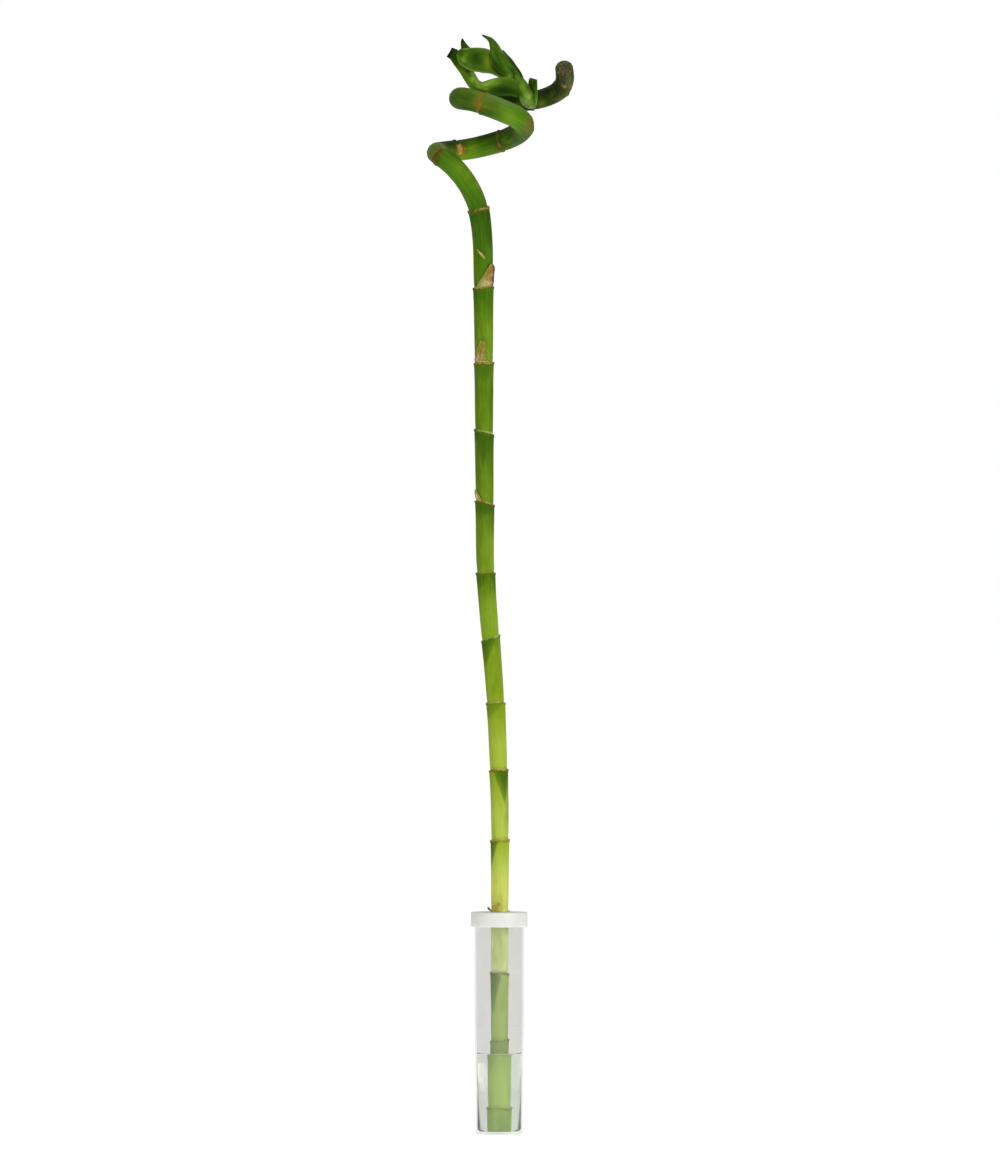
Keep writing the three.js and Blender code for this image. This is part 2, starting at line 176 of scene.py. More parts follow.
# Frosted polypropylene: a milky satin film that lets five sixths of the view through each face. The frost's
# grain is far under 0.1 mm, too fine to show, so only the mould's soft 15 mm cloudiness is drawn.
FROST_CLEAR = 0.845
FROST_VARIES = 0.015
frosted_pp, tree = new_material("frosted_polypropylene")
cloud = add(tree, "TexNoise", {"Vector": add(tree, "NewGeometry"), "Scale": 65.0, "Detail": 2.0})
clear = add(tree, "MapRange", {
    "Value": cloud, "From Min": 0.3, "From Max": 0.7,
    "To Min": FROST_CLEAR - FROST_VARIES, "To Max": FROST_CLEAR + FROST_VARIES,
})
skin = add(tree, "BsdfPrincipled", {
    "Base Color": linear("#a5a59d"), "Roughness": 0.5, "IOR": 1.49, "Specular IOR Level": 0.3,
})
glow = add(tree, "BsdfTranslucent", {"Color": linear("#a8a8a0")})
milk = add(tree, "MixShader", {0: 0.35, 1: skin, 2: glow})
open_air = add(tree, "BsdfTransparent", {"Color": (1, 1, 1, 1)})
film = add(tree, "MixShader", {0: clear, 1: milk, 2: open_air})
add(tree, "OutputMaterial", {"Surface": film})

tube_outline = rounded(
    [
        (0, 0, 0),
        (TUBE_FOOT_RADIUS - 0.02, 0, 0.8),
        (TUBE_RIM_RADIUS, TUBE_RIM, 0.35),
        (TUBE_RIM_RADIUS - TUBE_WALL, TUBE_RIM, 0.35),
        (tube_radius(TUBE_FLOOR) - TUBE_WALL, TUBE_FLOOR, 1.2),
        (0, TUBE_FLOOR, 0),
    ]
)
piece("vase_tube", turned(tube_outline, closed=False), frosted_pp, "tube", sharp=40)

# ---- Water ----
# Plain water, poured in to about a third of the tube's height. It touches the tube's wall and the cane, and
# creeps up both a little at its surface.

WATER_LEVEL = 44.5
WATER_CREEP = 0.5
WATER_INNER = 4.2  # inside the cane's skin, so that no air shows between the two

# Clean water: smooth glass of IOR 1.333 that widens what stands in it and lets lamps through.
clean_water, tree = new_material("clean_water")
bend = add(tree, "BsdfPrincipled", {
    "Base Color": linear("#f6fbf3"), "Roughness": 0.0, "IOR": 1.333, "Transmission Weight": 1.0,
})
pass_on = add(tree, "BsdfTransparent", {"Color": (0.96, 0.98, 0.94, 1)})
lamp_ray = add(tree, "LightPath").outputs["Is Shadow Ray"]
wet = add(tree, "MixShader", {0: lamp_ray, 1: bend, 2: pass_on})
add(tree, "OutputMaterial", {"Surface": wet})

floor_wall = tube_radius(TUBE_FLOOR) - TUBE_WALL
water_wall = tube_radius(WATER_LEVEL) - TUBE_WALL - 0.12
# Radius and height of each corner: along the floor, up the wall, and back over the surface to the cane.
water_outline = [
    (WATER_INNER, TUBE_FLOOR + 0.1), (floor_wall - 1.2, TUBE_FLOOR + 0.1),
    (floor_wall - 0.2, TUBE_FLOOR + 1.2), (water_wall, WATER_LEVEL),
    (water_wall - 0.25, WATER_LEVEL - 0.32), (water_wall - 0.8, WATER_LEVEL - WATER_CREEP),
    (WATER_INNER + 1.8, WATER_LEVEL - WATER_CREEP), (WATER_INNER + 1.0, WATER_LEVEL - 0.3),
    (WATER_INNER, WATER_LEVEL - 0.05),
]
piece("vase_water", turned(water_outline, closed=True), clean_water, "water", sharp=60)

# ---- Cane ----
# One living stem of dragon plant, cut at both ends. It grew straight for half a metre and was then trained
# into a coil towards the light. Each ring is the scar of a leaf that once clasped it, and the skin between
# two rings is palest where it is youngest, just over the lower ring.

CANE_PATH = [
    (0, 0, 1.8), (0.1, 0, 60), (0.3, 0, 122), (0.3, 0, 176), (-0.5, 0, 204.5), (-1.7, 0, 232),
    (-3.7, 0, 260), (-6, 0, 287), (-7.7, 0, 315), (-7.9, 0, 342), (-8.3, 0, 378), (-8.5, 0, 425),
    (-8.8, -0.2, 470), (-9.3, -1.2, 493), (-11.6, -3.8, 509), (-16.1, -7, 519.8), (-21.4, -9.2, 527.4),
    (-27.2, -8.8, 533.6), (-32.3, -4.8, 537.8), (-34.2, 3.2, 539.7), (-30.8, 11.4, 540.6),
    (-24, 17.4, 541.5), (-14.6, 20.8, 543), (-3.6, 20, 545.6), (5.4, 15.6, 548.4), (11, 8.4, 551.4),
    (13.2, -0.4, 555.2), (9.6, -9.2, 558.6), (1.6, -14.8, 562), (-7.6, -16.6, 565.4), (-15.6, -14, 568),
    (-20.6, -7.4, 569.2), (-21.6, 0.8, 569.4), (-18.2, 9.6, 569.2), (-10.6, 16.6, 568.8), (0, 20.2, 568.4),
    (11, 19.4, 568.6), (21, 15.6, 569.6), (29, 10.6, 572), (34.2, 4.8, 575.4), (36, -0.8, 579.6),
    (35.9, -5.6, 583.4), (35.6, -10.6, 585.4),
]
# Distances are along the cane from its foot. Girth is the radius between rings.
CANE_GIRTH = [
    (0, 4.85), (120, 4.9), (300, 5), (420, 5.15), (464, 5.4), (507, 5.6), (560, 5.85), (600, 6.1),
    (640, 6.3), (670, 6.2), (700, 5.8), (730, 5.4), (755, 5.3), (769, 5.1),
]
# Each ring: distance, slope across the stem, and how strong these are, from 0 to 1: its dry pale lip, the
# brown line under the lip, how rusty the lip has turned, and the soft brown haze over 2 mm of skin to both
# sides. Last is how many times as broad as a plain ring it is.
RINGS = [
    (13.5, 0, 0.4, 0.5, 0.2, 0.2, 1), (49.8, 0.04, 0.4, 0.6, 0.2, 0.2, 1),
    (86.7, -0.04, 0.3, 0.95, 0.4, 0.35, 1.2), (121.3, 0, 0.15, 0.3, 0.2, 0.1, 1),
    (159.8, 0.05, 0.45, 0.6, 0.35, 0.6, 1.1), (198.3, -0.05, 0.55, 0.9, 0.35, 0.35, 1),
    (235.2, 0.04, 0.7, 0.35, 0, 0.15, 1), (271.1, 0.26, 0.85, 0.5, 0, 0.1, 1),
    (306.9, -0.05, 0.12, 0.3, 0.2, 0.2, 1.2), (345.4, -0.28, 0.8, 0.8, 0.25, 0.3, 1),
    (384.5, -0.22, 0.75, 0.5, 0.1, 0.15, 1), (422.4, 0.05, 0.8, 0.7, 0.1, 0.25, 1),
    (463.9, 0, 0.75, 0.6, 0.15, 0.25, 1), (507.3, 0, 0.8, 0.7, 0.6, 0.5, 1),
    (545, 0, 0.2, 0.9, 0.8, 0.8, 1.5), (573, 0, 0.05, 0.1, 0.4, 0.1, 1), (600, 0, 0.2, 0.9, 0.7, 0.5, 1.2),
    (621, 0, 0, 0.12, 0.8, 0.2, 1), (656.5, 0, 0.3, 0.35, 0.8, 0.3, 1.2), (696, 0, 0.3, 0.5, 0.5, 0.2, 1),
    (731, 0, 0, 0.1, 0.4, 0, 1), (752, 0, 0, 0.15, 0.3, 0, 1),
]
COIL_START = 515
# A pair holds for the straight stem and for the coil. A ring's waist lies just over it and its shoulder just
# under, both as shares of the girth. With them in, EVENED brings the girth back to its average.
WAIST = (0.94, 0.975)
SHOULDER = (1.09, 1.03)
EVENED = (0.99, 0.975)
SWELL_LENGTH = 7
RINGS_APART = 40  # at most
# A ring's ridge: its height, and how far it slopes away over its crest and under it.
RING_RAISE = 0.36
RIDGE_OVER, RIDGE_UNDER = 0.5, 1.1
# The grooves about a ring: depth, place over its crest, and half width.
GROOVES = [(0.06, -2.0, 0.6), (0.12, 1.1, 0.5)]
# Waves round the stem: height, how many to a turn, and how far they shift from ring to ring.
RING_WAVER = [(0.35, 1, 1.7), (0.25, 3, 2.9), (0.12, 7, 0)]
RIBS = [(0.035, 11, 1.3), (0.02, 23, 0.7)]
# Dormant buds: distance, direction faced, height, half length, half width.
BUDS = [(124.8, (-0.25, -1, 0), 0.5, 2.8, 2.4), (573.2, (0, -1, 0), 0.8, 2.9, 3.5)]
# Dark green wedges that hang under a ring: ring's distance, angle in degrees, half width in degrees, length,
# strength.
WEDGES = [
    (86.7, -140, 71, 25, 0.88), (159.8, -168, 76, 19, 0.95), (198.3, -56, 78, 20, 1),
    (235.2, -140, 110, 9, 0.45), (271.1, -140, 98, 16, 0.85), (306.9, -22, 46, 15, 0.75),
    (306.9, -130, 80, 9, 0.6), (345.4, -120, 100, 11, 0.6), (384.5, -98, 80, 20, 0.75),
    (422.4, -90, 105, 12, 0.5), (463.9, -60, 110, 14, 0.4), (507.3, -100, 100, 22, 0.5),
    (235.2, 60, 60, 14, 0.8), (306.9, 100, 55, 15, 0.8),
]
# Spots that tint the skin: x, y, z, reach and strength. A blush is red-brown. The next three lists are
# painted light and shade, not the skin's own colour: a grey-green painted sheen, painted shade in dark green,
# and painted light in a sunlit green. Umber is the dark brown about a scar, ochre and russet the broad old
# ring on the coil's top pass, a scar is dry and tan, amber and cream are a bud's soft colours, and a dot is a
# dark pore.
SPOTS = {
    "blush": [
        (16.4, -7, 554.8, 4.4, 0.85), (-26.5, -6, 571.5, 4, 0.35), (41, -3, 579, 5, 0.2),
        (14.6, -8.2, 552.4, 2.4, 0.7), (18.5, 8, 562.6, 3.2, 0.6), (-4.6, -4, 511.5, 3.4, 0.6),
        (-9.5, -18.6, 571.4, 2.2, 0.6),
    ],
    # Painted sheen: a grey-green shine where the coil's turns face the light.
    "bloom": [
        (-37.6, -2, 542, 6, 0.55), (-26, -2, 574.5, 6, 0.5), (-9, -15, 571.8, 7, 0.2),
        (3, -14, 568, 6, 0.2), (17, 6, 551, 6.5, 0.4), (12.5, 1.5, 547.8, 3, 0.6),
        (39.6, -5.8, 579, 3.5, 0.35), (-33.8, -3, 544.4, 3.4, 0.8), (35.6, -10.6, 590.4, 2.4, 1),
    ],
    # Painted shade: dark green where the coil lies in the shadow of its own turns and of the leaves.
    "gloom": [
        (-29.5, 8, 545.5, 5.5, 0.8), (-24, 12, 547.5, 4.5, 0.7), (9, 8, 551, 7, 0.4), (24, 8, 575, 10, 0.5),
        (-27.5, 0, 568, 4.5, 0.4), (9, 12, 566, 8, 0.6), (36, -4, 584, 6, 0.3), (30, 4, 577, 6, 0.6),
        (-2.5, -22.5, 564.5, 5, 0.35), (-23.9, -9.5, 538.2, 2.6, 0.5), (-20.5, -9, 534.5, 2.4, 0.4),
        (39.4, -5.2, 578, 3, 0.35), (33.4, 3.3, 570, 3.4, 0.35), (-18, -19.6, 567, 6, 0.4),
        (-1, 14, 546.5, 4, 0.5),
    ],
    # Painted light: sunlit green on lit stretches of the coil, and one just left of the shoot's collar.
    "gleam": [
        (-24, -14.2, 534, 3, 0.4), (-20.6, -13.7, 532, 3.2, 0.6), (-16.4, -12.5, 527.8, 3.2, 0.7),
        (-12, -10, 522, 3.2, 0.6), (-8.6, -8, 515, 3.2, 0.15), (22.5, 9.9, 567.4, 3, 0.6),
        (-15, 15, 542, 4, 0.4), (10.9, 14.3, 566.4, 2.4, 1),
    ],
    "umber": [
        (-33.8, -11.6, 536.6, 2, 0.7), (-34.6, -10.1, 534.2, 2.6, 0.9), (-5.2, -21.6, 560.4, 2.2, 0.5),
        (-0.5, 12.8, 545.2, 2, 0.7), (0.9, 13.9, 542.6, 2.2, 0.9), (-24.3, 10.5, 543, 1.8, 0.9),
        (-19, 13.2, 544.6, 2.6, 0.55), (-18.6, 13.4, 541, 1.6, 0.6), (37.8, -0.5, 573.6, 2.8, 0.85),
        (39.9, -0.5, 575.8, 2, 0.6), (32.3, -3.1, 577.1, 1.8, 0.6), (-10.9, -21.1, 561.4, 2, 0.8),
        (-4.4, -4, 509.4, 1.8, 0.8),
    ],
    "ochre": [
        (-9.4, -19.4, 570.6, 1.9, 0.75), (-10.4, -21, 568.8, 1.6, 0.9), (-11, -22.1, 566.4, 1.7, 1),
        (-11, -22, 564.2, 1.9, 1), (-11.2, -21.4, 562.6, 1.8, 0.8),
    ],
    "russet": [(-12.6, -21.8, 567, 1.5, 0.7), (-12.4, -21.5, 564.6, 1.3, 0.8)],
    "scar": [
        (-30.4, -8.5, 542.4, 1.6, 0.9), (-31, -6, 543.4, 1.4, 0.5), (35.9, -4.1, 575.7, 0.9, 0.9),
        (35, -4.4, 576.2, 0.8, 0.7), (38.9, -2, 576.2, 1, 0.5),
    ],
    "amber": [(-2, -5, 124.2, 3, 0.95), (-21, 11.8, 541.2, 2.3, 0.7)],
    "cream": [
        (-22.3, 11.6, 543.7, 1, 0.85), (-21.7, 11.5, 542, 1.1, 0.5), (-21.4, 11.6, 539.8, 0.9, 0.8),
        (35.9, -4.1, 575.7, 0.6, 0.35), (-3.6, -4.4, 125.4, 1.4, 0.4),
    ],
    "dot": [(-0.3, -5.2, 126.4, 0.75, 0.9), (-38, -9, 534.6, 1.2, 0.9), (-6.6, -1.2, 241.2, 0.8, 0.9)],
}


def curve_through(points, steps):
    """A centripetal Catmull-Rom curve: its points, and its directions, steps to the span."""
    p = np.array(points, float)
    p = np.vstack([2 * p[0] - p[1], p, 2 * p[-1] - p[-2]])
    places, slopes = [], []
    for i in range(len(p) - 3):
        d0, d1, d2 = [max(math.dist(p[i + k], p[i + k + 1]), 1e-6) ** 0.5 for k in range(3)]
        x0, x1, x2, x3 = p[i : i + 4]
        t1 = d1 * ((x1 - x0) / d0 - (x2 - x0) / (d0 + d1) + (x2 - x1) / d1)
        t2 = d1 * ((x2 - x1) / d1 - (x3 - x1) / (d1 + d2) + (x3 - x2) / d2)
        c2, c3 = -3 * x1 + 3 * x2 - 2 * t1 - t2, 2 * x1 - 2 * x2 + t1 + t2
        for t in [k / steps for k in range(steps + (i == len(p) - 4))]:
            places.append(x1 + t1 * t + c2 * t * t + c3 * t**3)
            slopes.append(t1 + 2 * c2 * t + 3 * c3 * t * t)
    return np.array(places), np.array(slopes)


def unit(vectors):
    """Vectors brought to a length of 1."""
    return vectors / np.linalg.norm(vectors, axis=-1)[..., None]


def lengths_along(points):
    """How far along their line each of some points lies."""
    return np.concatenate([[0], np.cumsum(np.linalg.norm(np.diff(points, axis=0), axis=1))])


FRAME_STEP = 0.5  # along the cane
fine_path, fine_slope = curve_through(CANE_PATH, 60)
fine_along = lengths_along(fine_path)
CANE_LENGTH = fine_along[-1]
frame_along = np.linspace(0, CANE_LENGTH, int(CANE_LENGTH / FRAME_STEP))
frame_centre, frame_ahead = [
    np.column_stack([np.interp(frame_along, fine_along, fine[:, k]) for k in range(3)])
    for fine in (fine_path, fine_slope)
]
frame_ahead = unit(frame_ahead)
frame_right = np.zeros_like(frame_ahead)
carried = np.array([1.0, 0, 0])
for i, ahead in enumerate(frame_ahead):
    carried = unit(carried - ahead * (carried @ ahead))
    frame_right[i] = carried
frame_back = np.cross(frame_ahead, frame_right)

ring_places, ring_slopes, *ring_looks, ring_spread = np.array(RINGS).T


def along_cane(values, distance):
    """One of the cane's frame vectors at some distances along it."""
    return np.stack([np.interp(distance, frame_along, values[:, k]) for k in range(3)], axis=-1)


def angle_facing(distance, direction):
    """The angle round the cane at which its skin faces a direction."""
    right, back = along_cane(frame_right, distance), along_cane(frame_back, distance)
    return math.atan2(np.dot(direction, back), np.dot(direction, right))


def short_way(turn):
    """Angles brought to within half a turn of 0."""
    return np.arctan2(np.sin(turn), np.cos(turn))


def waves(terms, angle, number):
    """The sum of some waves round the stem, as they stand at a ring of that number."""
    return sum(height * np.sin(count * angle + number * shift) for height, count, shift in terms)


def nearest_ring(distance, angle):
    """Signed distance over the nearest ring, its number, and how far the rings under and over a point are."""
    gaps = np.stack([distance - at - waves(RING_WAVER, angle, i) for i, at in enumerate(ring_places)])
    number = np.abs(gaps).argmin(axis=0)
    over, under = [np.where(side > 0, side, np.inf).min(axis=0) for side in (gaps, -gaps)]
    over, under = np.minimum(over, RINGS_APART), np.minimum(under, RINGS_APART)
    return np.take_along_axis(gaps, number[None], 0)[0], number, over, under


def bud_shape(distance, angle):
    """Height of the dormant buds over the skin, and how far inside a bud a point is, from 0 to 1."""
    height, inside = np.zeros_like(distance), np.zeros_like(distance)
    for at, facing, rise, half_length, half_width in BUDS:
        across = short_way(angle - angle_facing(at, facing)) * np.interp(at, *np.array(CANE_GIRTH).T)
        room = np.clip(1 - (across / half_width) ** 2 - ((distance - at) / half_length) ** 2, 0, 1)
        height += rise * room**0.8
        inside = np.maximum(inside, room)
    return height, inside


def cane_radius(distance, angle):
    """The cane's radius, with its rings, its swelling about them and its buds."""
    gap, number, over, under = nearest_ring(distance, angle)
    waist, shoulder, evened = [np.where(distance < COIL_START, *pair) for pair in (WAIST, SHOULDER, EVENED)]
    factor = 1 + (shoulder - 1) * np.exp(-under / SWELL_LENGTH) + (waist - 1) * np.exp(-over / SWELL_LENGTH)
    uneven = 0.7 + 0.3 * np.sin(2 * angle + number * 2.1) * np.sin(5 * angle + number)
    ridge = RING_RAISE * uneven * np.exp(-((gap / np.where(gap > 0, RIDGE_OVER, RIDGE_UNDER)) ** 2))
    groove = sum(depth * np.exp(-(((gap - place) / half) ** 2)) for depth, place, half in GROOVES)
    bud, _ = bud_shape(distance, angle)
    girth = np.interp(distance, *np.array(CANE_GIRTH).T) * evened
    return girth * factor + ridge - groove + waves(RIBS, angle, number) + bud


def on_cane(distance, angle, lift=0.0):
    """Points on the cane's skin, lifted off it. Everything between two rings slopes as they do."""
    radius = cane_radius(distance, angle) + lift
    x, y = (np.cos(angle) * radius)[..., None], (np.sin(angle) * radius)[..., None]
    lean = np.interp(distance, ring_places, ring_slopes)[..., None] * x
    centre, right, back, ahead = [
        along_cane(values, distance) for values in (frame_centre, frame_right, frame_back, frame_ahead)
    ]
    return centre + right * x + back * y + ahead * lean


def smooth(low, high, value):
    """A soft step from 0 at low to 1 at high, rising or falling."""
    t = np.clip((value - low) / (high - low), 0, 1)
    return t * t * (3 - 2 * t)


def stretch(start, full, fading, end, value):
    """1 from full to fading, 0 outside start and end, and a soft step in between."""
    return smooth(start, full, value) * smooth(end, fading, value)


def spots(points, places):
    """How strongly each point is tinted by a list of spots."""
    tint = np.zeros(points.shape[:-1])
    for *centre, reach, strength in places:
        away = np.linalg.norm(points - np.array(centre), axis=-1)
        tint = np.maximum(tint, strength * np.exp(-((away / reach) ** 2)))
    return tint


def round_body(points):
    """A closed body over rows of points that each run round it, with a flat face over both ends."""
    body = bmesh.new()
    verts = [[body.verts.new(point) for point in row] for row in points]
    for lower, upper in zip(verts, verts[1:]):
        for j in range(len(lower)):
            n = (j + 1) % len(lower)
            body.faces.new((lower[j], lower[n], upper[n], upper[j]))
    body.faces.new(verts[0][::-1])
    body.faces.new(verts[-1])
    return body


def store(made, looks, faces=1):
    """Keeps named numbers or vectors for each vertex, for the material. A shell has two faces alike."""
    for name, values in looks.items():
        kind, field = ("FLOAT_VECTOR", "vector") if values.ndim == 3 else ("FLOAT", "value")
        made.data.attributes.new(name, kind, "POINT").data.foreach_set(field, np.tile(values.ravel(), faces))


CANE_SIDES = 64
# Rows of points: their steps, plain and about a ring, how far those reach, the least step, and how far the
# rows stay inside the ends.
ROW_STEP, RING_ROW_STEP, RING_ROWS_REACH, LEAST_STEP, ROWS_INSIDE = 0.9, 0.3, 2.4, 0.12, 0.8
about_ring = np.arange(-RING_ROWS_REACH, RING_ROWS_REACH + 0.1, RING_ROW_STEP)
stations = np.concatenate(
    [np.arange(ROWS_INSIDE, CANE_LENGTH - ROWS_INSIDE, ROW_STEP)] + [at + about_ring for at in ring_places]
)
stations = np.sort(stations[(stations > ROWS_INSIDE) & (stations < CANE_LENGTH - ROWS_INSIDE)])
stations = stations[np.concatenate([[True], np.diff(stations) > LEAST_STEP])]
# Each end: how far the row lies inside it, and the share of the radius that it has. The cut dried a little
# hollow.
TIP_ROWS = [
    (0.55, 1), (0.3, 0.985), (0.12, 0.95), (0.03, 0.89), (0.08, 0.8), (0.3, 0.66), (0.55, 0.5), (0.7, 0.33),
    (0.6, 0.16), (0.5, 0.04),
]
rows = [(end, share, 1) for end, share in reversed(TIP_ROWS)]
rows += [(at, 1, 0) for at in stations]
rows += [(CANE_LENGTH - end, share, 1) for end, share in TIP_ROWS]
distance, share, cut = [np.repeat(column[:, None], CANE_SIDES, axis=1) for column in np.array(rows).T]
angle = np.ones_like(distance) * (2 * np.pi * np.arange(CANE_SIDES) / CANE_SIDES)
skin_points = on_cane(distance, angle)
axis_points = along_cane(frame_centre, distance)
cane_points = axis_points + (skin_points - axis_points) * share[..., None]

gap, number, over, under = nearest_ring(distance, angle)
_, in_bud = bud_shape(distance, angle)
wedge = np.zeros_like(distance)
for at, centre, half, length, strength in WEDGES:
    down = at - distance
    off = np.abs(short_way(angle - math.radians(centre))) / math.radians(half)
    inside = 1 - down / length - off
    shape = smooth(0.0, 0.16, inside) * (down > 0.2) * (0.6 + 0.4 * smooth(0, 0.7, inside))
    wedge = np.maximum(wedge, strength * shape)
outward = unit(skin_points - axis_points)
skyward = smooth(0.1, 0.95, outward[..., 2])
# Painted light and shade on the coil: painted shade on its upper side low down, where the turn above shades
# it, a painted grey sheen on its upper side higher up, and painted light along its under edge. The painted
# shade on the upper side pales about PALE_ROOF.
PALE_ROOF, PALE_ROOF_REACH = 583, 9
roof_pales = 0.45 * np.exp(-(((distance - PALE_ROOF) / PALE_ROOF_REACH) ** 2))
cane_looks = {
    "along": distance,
    "part_up": over / np.maximum(over + under, 1),
    "from_ring": gap / ring_spread[number],
    "wedge": wedge,
    "bud": smooth(0.0, 0.35, in_bud) * (distance > COIL_START),
    "cut": cut * smooth(0.97, 0.86, share),
    "painted_roof_shade": skyward * stretch(552, 566, 606, 622, distance) * (1 - roof_pales),
    "painted_top_sheen": skyward * stretch(618, 634, 652, 662, distance),
    "painted_edge_light": smooth(0.1, 0.9, -outward[..., 2]) * stretch(562, 574, 596, 606, distance),
}
cane_looks |= {name: look[number] for name, look in zip(("lip", "line", "rust", "haze"), ring_looks)}
cane_looks |= {name: spots(cane_points, places) for name, places in SPOTS.items()}


def tinted(tree, tone, tints, kept, share=None):
    """A colour under some tints: name, strength, colour. A share thins them out from place to place."""
    for name, strength, code in tints:
        by = add(tree, "Math", {0: kept[name], 1: strength}, operation="MULTIPLY")
        if share is not None:
            by = add(tree, "Math", {0: by, 1: share}, operation="MULTIPLY")
        tone = add(tree, "Mix", {"Factor": by, "A": tone, "B": linear(code)}, data_type="RGBA")
    return tone


# Living epidermis: a thin waxy skin over green flesh, nearly matt, with lengthwise ribs 1 to 3 mm apart and
# fine fibres that are drawn 0.6 mm wide. It is yellow-green low down and dark green high up, and darkest just
# under each ring. These are its colours by distance, just over a ring and just under the next.
YOUNG_SKIN = [
    (0, "#a9c468"), (50, "#abc466"), (86, "#b3cc6a"), (87, "#e2f0a2"), (119, "#e0ee98"), (123, "#ccd268"),
    (160, "#aabb4a"), (198, "#9cb038"), (214, "#9bb03a"), (235, "#8ea326"), (252, "#7c981a"),
    (271, "#7b9922"), (307, "#829e26"), (345, "#678818"), (365, "#5c7f14"), (404, "#577b0c"),
    (422, "#6f8f18"), (464, "#547c0c"), (486, "#48700c"), (507, "#326006"), (530, "#4e780c"),
    (546, "#4c7616"), (573, "#5a880a"), (600, "#32560a"), (621, "#446e0e"), (640, "#527e10"),
    (657, "#38620a"), (696, "#2c5010"), (731, "#28460c"), (746, "#1e300c"), (752, "#242e12"),
    (769, "#2e3414"),
]
GROWN_SKIN = [
    (0, "#8fae50"), (50, "#8fae50"), (86, "#a2bd60"), (87, "#dcea9c"), (119, "#dcea9c"), (123, "#a9bd48"),
    (160, "#8fa622"), (198, "#7c9416"), (235, "#788f10"), (271, "#50740a"), (307, "#486602"),
    (345, "#3a5c04"), (384, "#3a5a0c"), (422, "#4c6e0c"), (464, "#426a06"), (507, "#284c04"),
    (530, "#4c7a0e"), (546, "#406c12"), (573, "#406c08"), (600, "#38600a"), (612, "#2c4c0a"),
    (621, "#30500a"), (640, "#48760c"), (650, "#34600a"), (657, "#30580a"), (680, "#2c4c0e"),
    (696, "#284c10"), (731, "#22360e"), (752, "#202c0e"), (769, "#2a3014"),
]
SKIN_RADIUS = 5.2  # of the round that the fibres are laid out on
cane_skin, tree = new_material("living_cane_skin")
seen = {name: add(tree, "Attribute", attribute_name=name).outputs["Fac"] for name in cane_looks}
skin_place = add(tree, "Attribute", attribute_name="skin").outputs["Vector"]
# Noises, in cycles to the millimetre across, round and along the stem, with their octaves and roughness.
# Fibres are 0.6 mm wide and 14 mm long, streaks 4 by 50 mm and the mottle 9 by 20 mm. Ragged spots are 1.3 mm
# wide and broken ones 3 mm.
fibres, streaks, mottle = [
    add(tree, "TexNoise", {
        "Vector": add(tree, "Mapping", {"Vector": skin_place, "Scale": scale}),
        "Scale": 1.0, "Detail": octaves, "Roughness": roughness,
    })
    for scale, octaves, roughness in [
        ((1.6, 1.6, 0.07), 3.0, 0.6),
        ((0.26, 0.26, 0.02), 2.0, 0.5),
        ((0.11, 0.11, 0.05), 2.0, 0.5),
    ]
]
ragged = add(tree, "TexNoise", {"Vector": skin_place, "Scale": 0.8, "Detail": 3.0})
broken = add(tree, "TexNoise", {"Vector": skin_place, "Scale": 0.33, "Detail": 2.0})
whole = add(tree, "Math", {0: seen["along"], 1: 1 / CANE_LENGTH}, operation="MULTIPLY")
young, grown = [
    add(tree, "ValToRGB", {"Fac": whole}, stops=[(at / CANE_LENGTH, code) for at, code in tones])
    for tones in (YOUNG_SKIN, GROWN_SKIN)
]
aged_by = add(tree, "Math", {0: streaks, 1: 0.6, 2: seen["part_up"]}, operation="MULTIPLY_ADD")
aged = add(tree, "MapRange", {"Value": aged_by, "From Min": 0.7, "From Max": 1.3})
skin_tone = add(tree, "Mix", {"Factor": aged, "A": young, "B": grown}, data_type="RGBA")
# Pale and dark patches: the noise that places them, where it starts and is full, how strong, how it mixes,
# and the colour.
for texture, start, full, strength, way, code in [
    (fibres, 0.5, 0.75, 0.12, "MIX", "#b8c850"),
    (fibres, 0.5, 0.3, 0.2, "MULTIPLY", "#b4bd9a"),
    (streaks, 0.47, 0.3, 0.22, "MULTIPLY", "#a8b48c"),
    (mottle, 0.5, 0.7, 0.5, "MULTIPLY", "#a8b48a"),
    (mottle, 0.46, 0.3, 0.14, "MIX", "#a8c030"),
]:
    by = add(tree, "MapRange", {"Value": texture, "From Min": start, "From Max": full, "To Max": strength})
    both = {"Factor": by, "A": skin_tone, "B": linear(code)}
    skin_tone = add(tree, "Mix", both, data_type="RGBA", blend_type=way)
# Tints over the green, each by the number kept for it at each point: strength and colour. All but the wedge
# and the last four are painted light and shade: the coil's shaded top, its lit under edge and its sheen, then
# the spots of painted shade, light and sheen.
skin_tone = tinted(tree, skin_tone, [
    ("painted_roof_shade", 0.92, "#1c3408"), ("painted_edge_light", 0.35, "#6c8c16"), ("painted_top_sheen", 0.34, "#708254"),
    ("wedge", 0.9, "#355a06"), ("gloom", 0.85, "#1b3006"), ("gleam", 0.6, "#7c9c26"),
    ("bloom", 0.62, "#5c6a50"), ("blush", 0.85, "#745224"), ("ochre", 0.85, "#7c661a"),
    ("russet", 0.8, "#865204"), ("umber", 0.85, "#42360c"),
], seen)
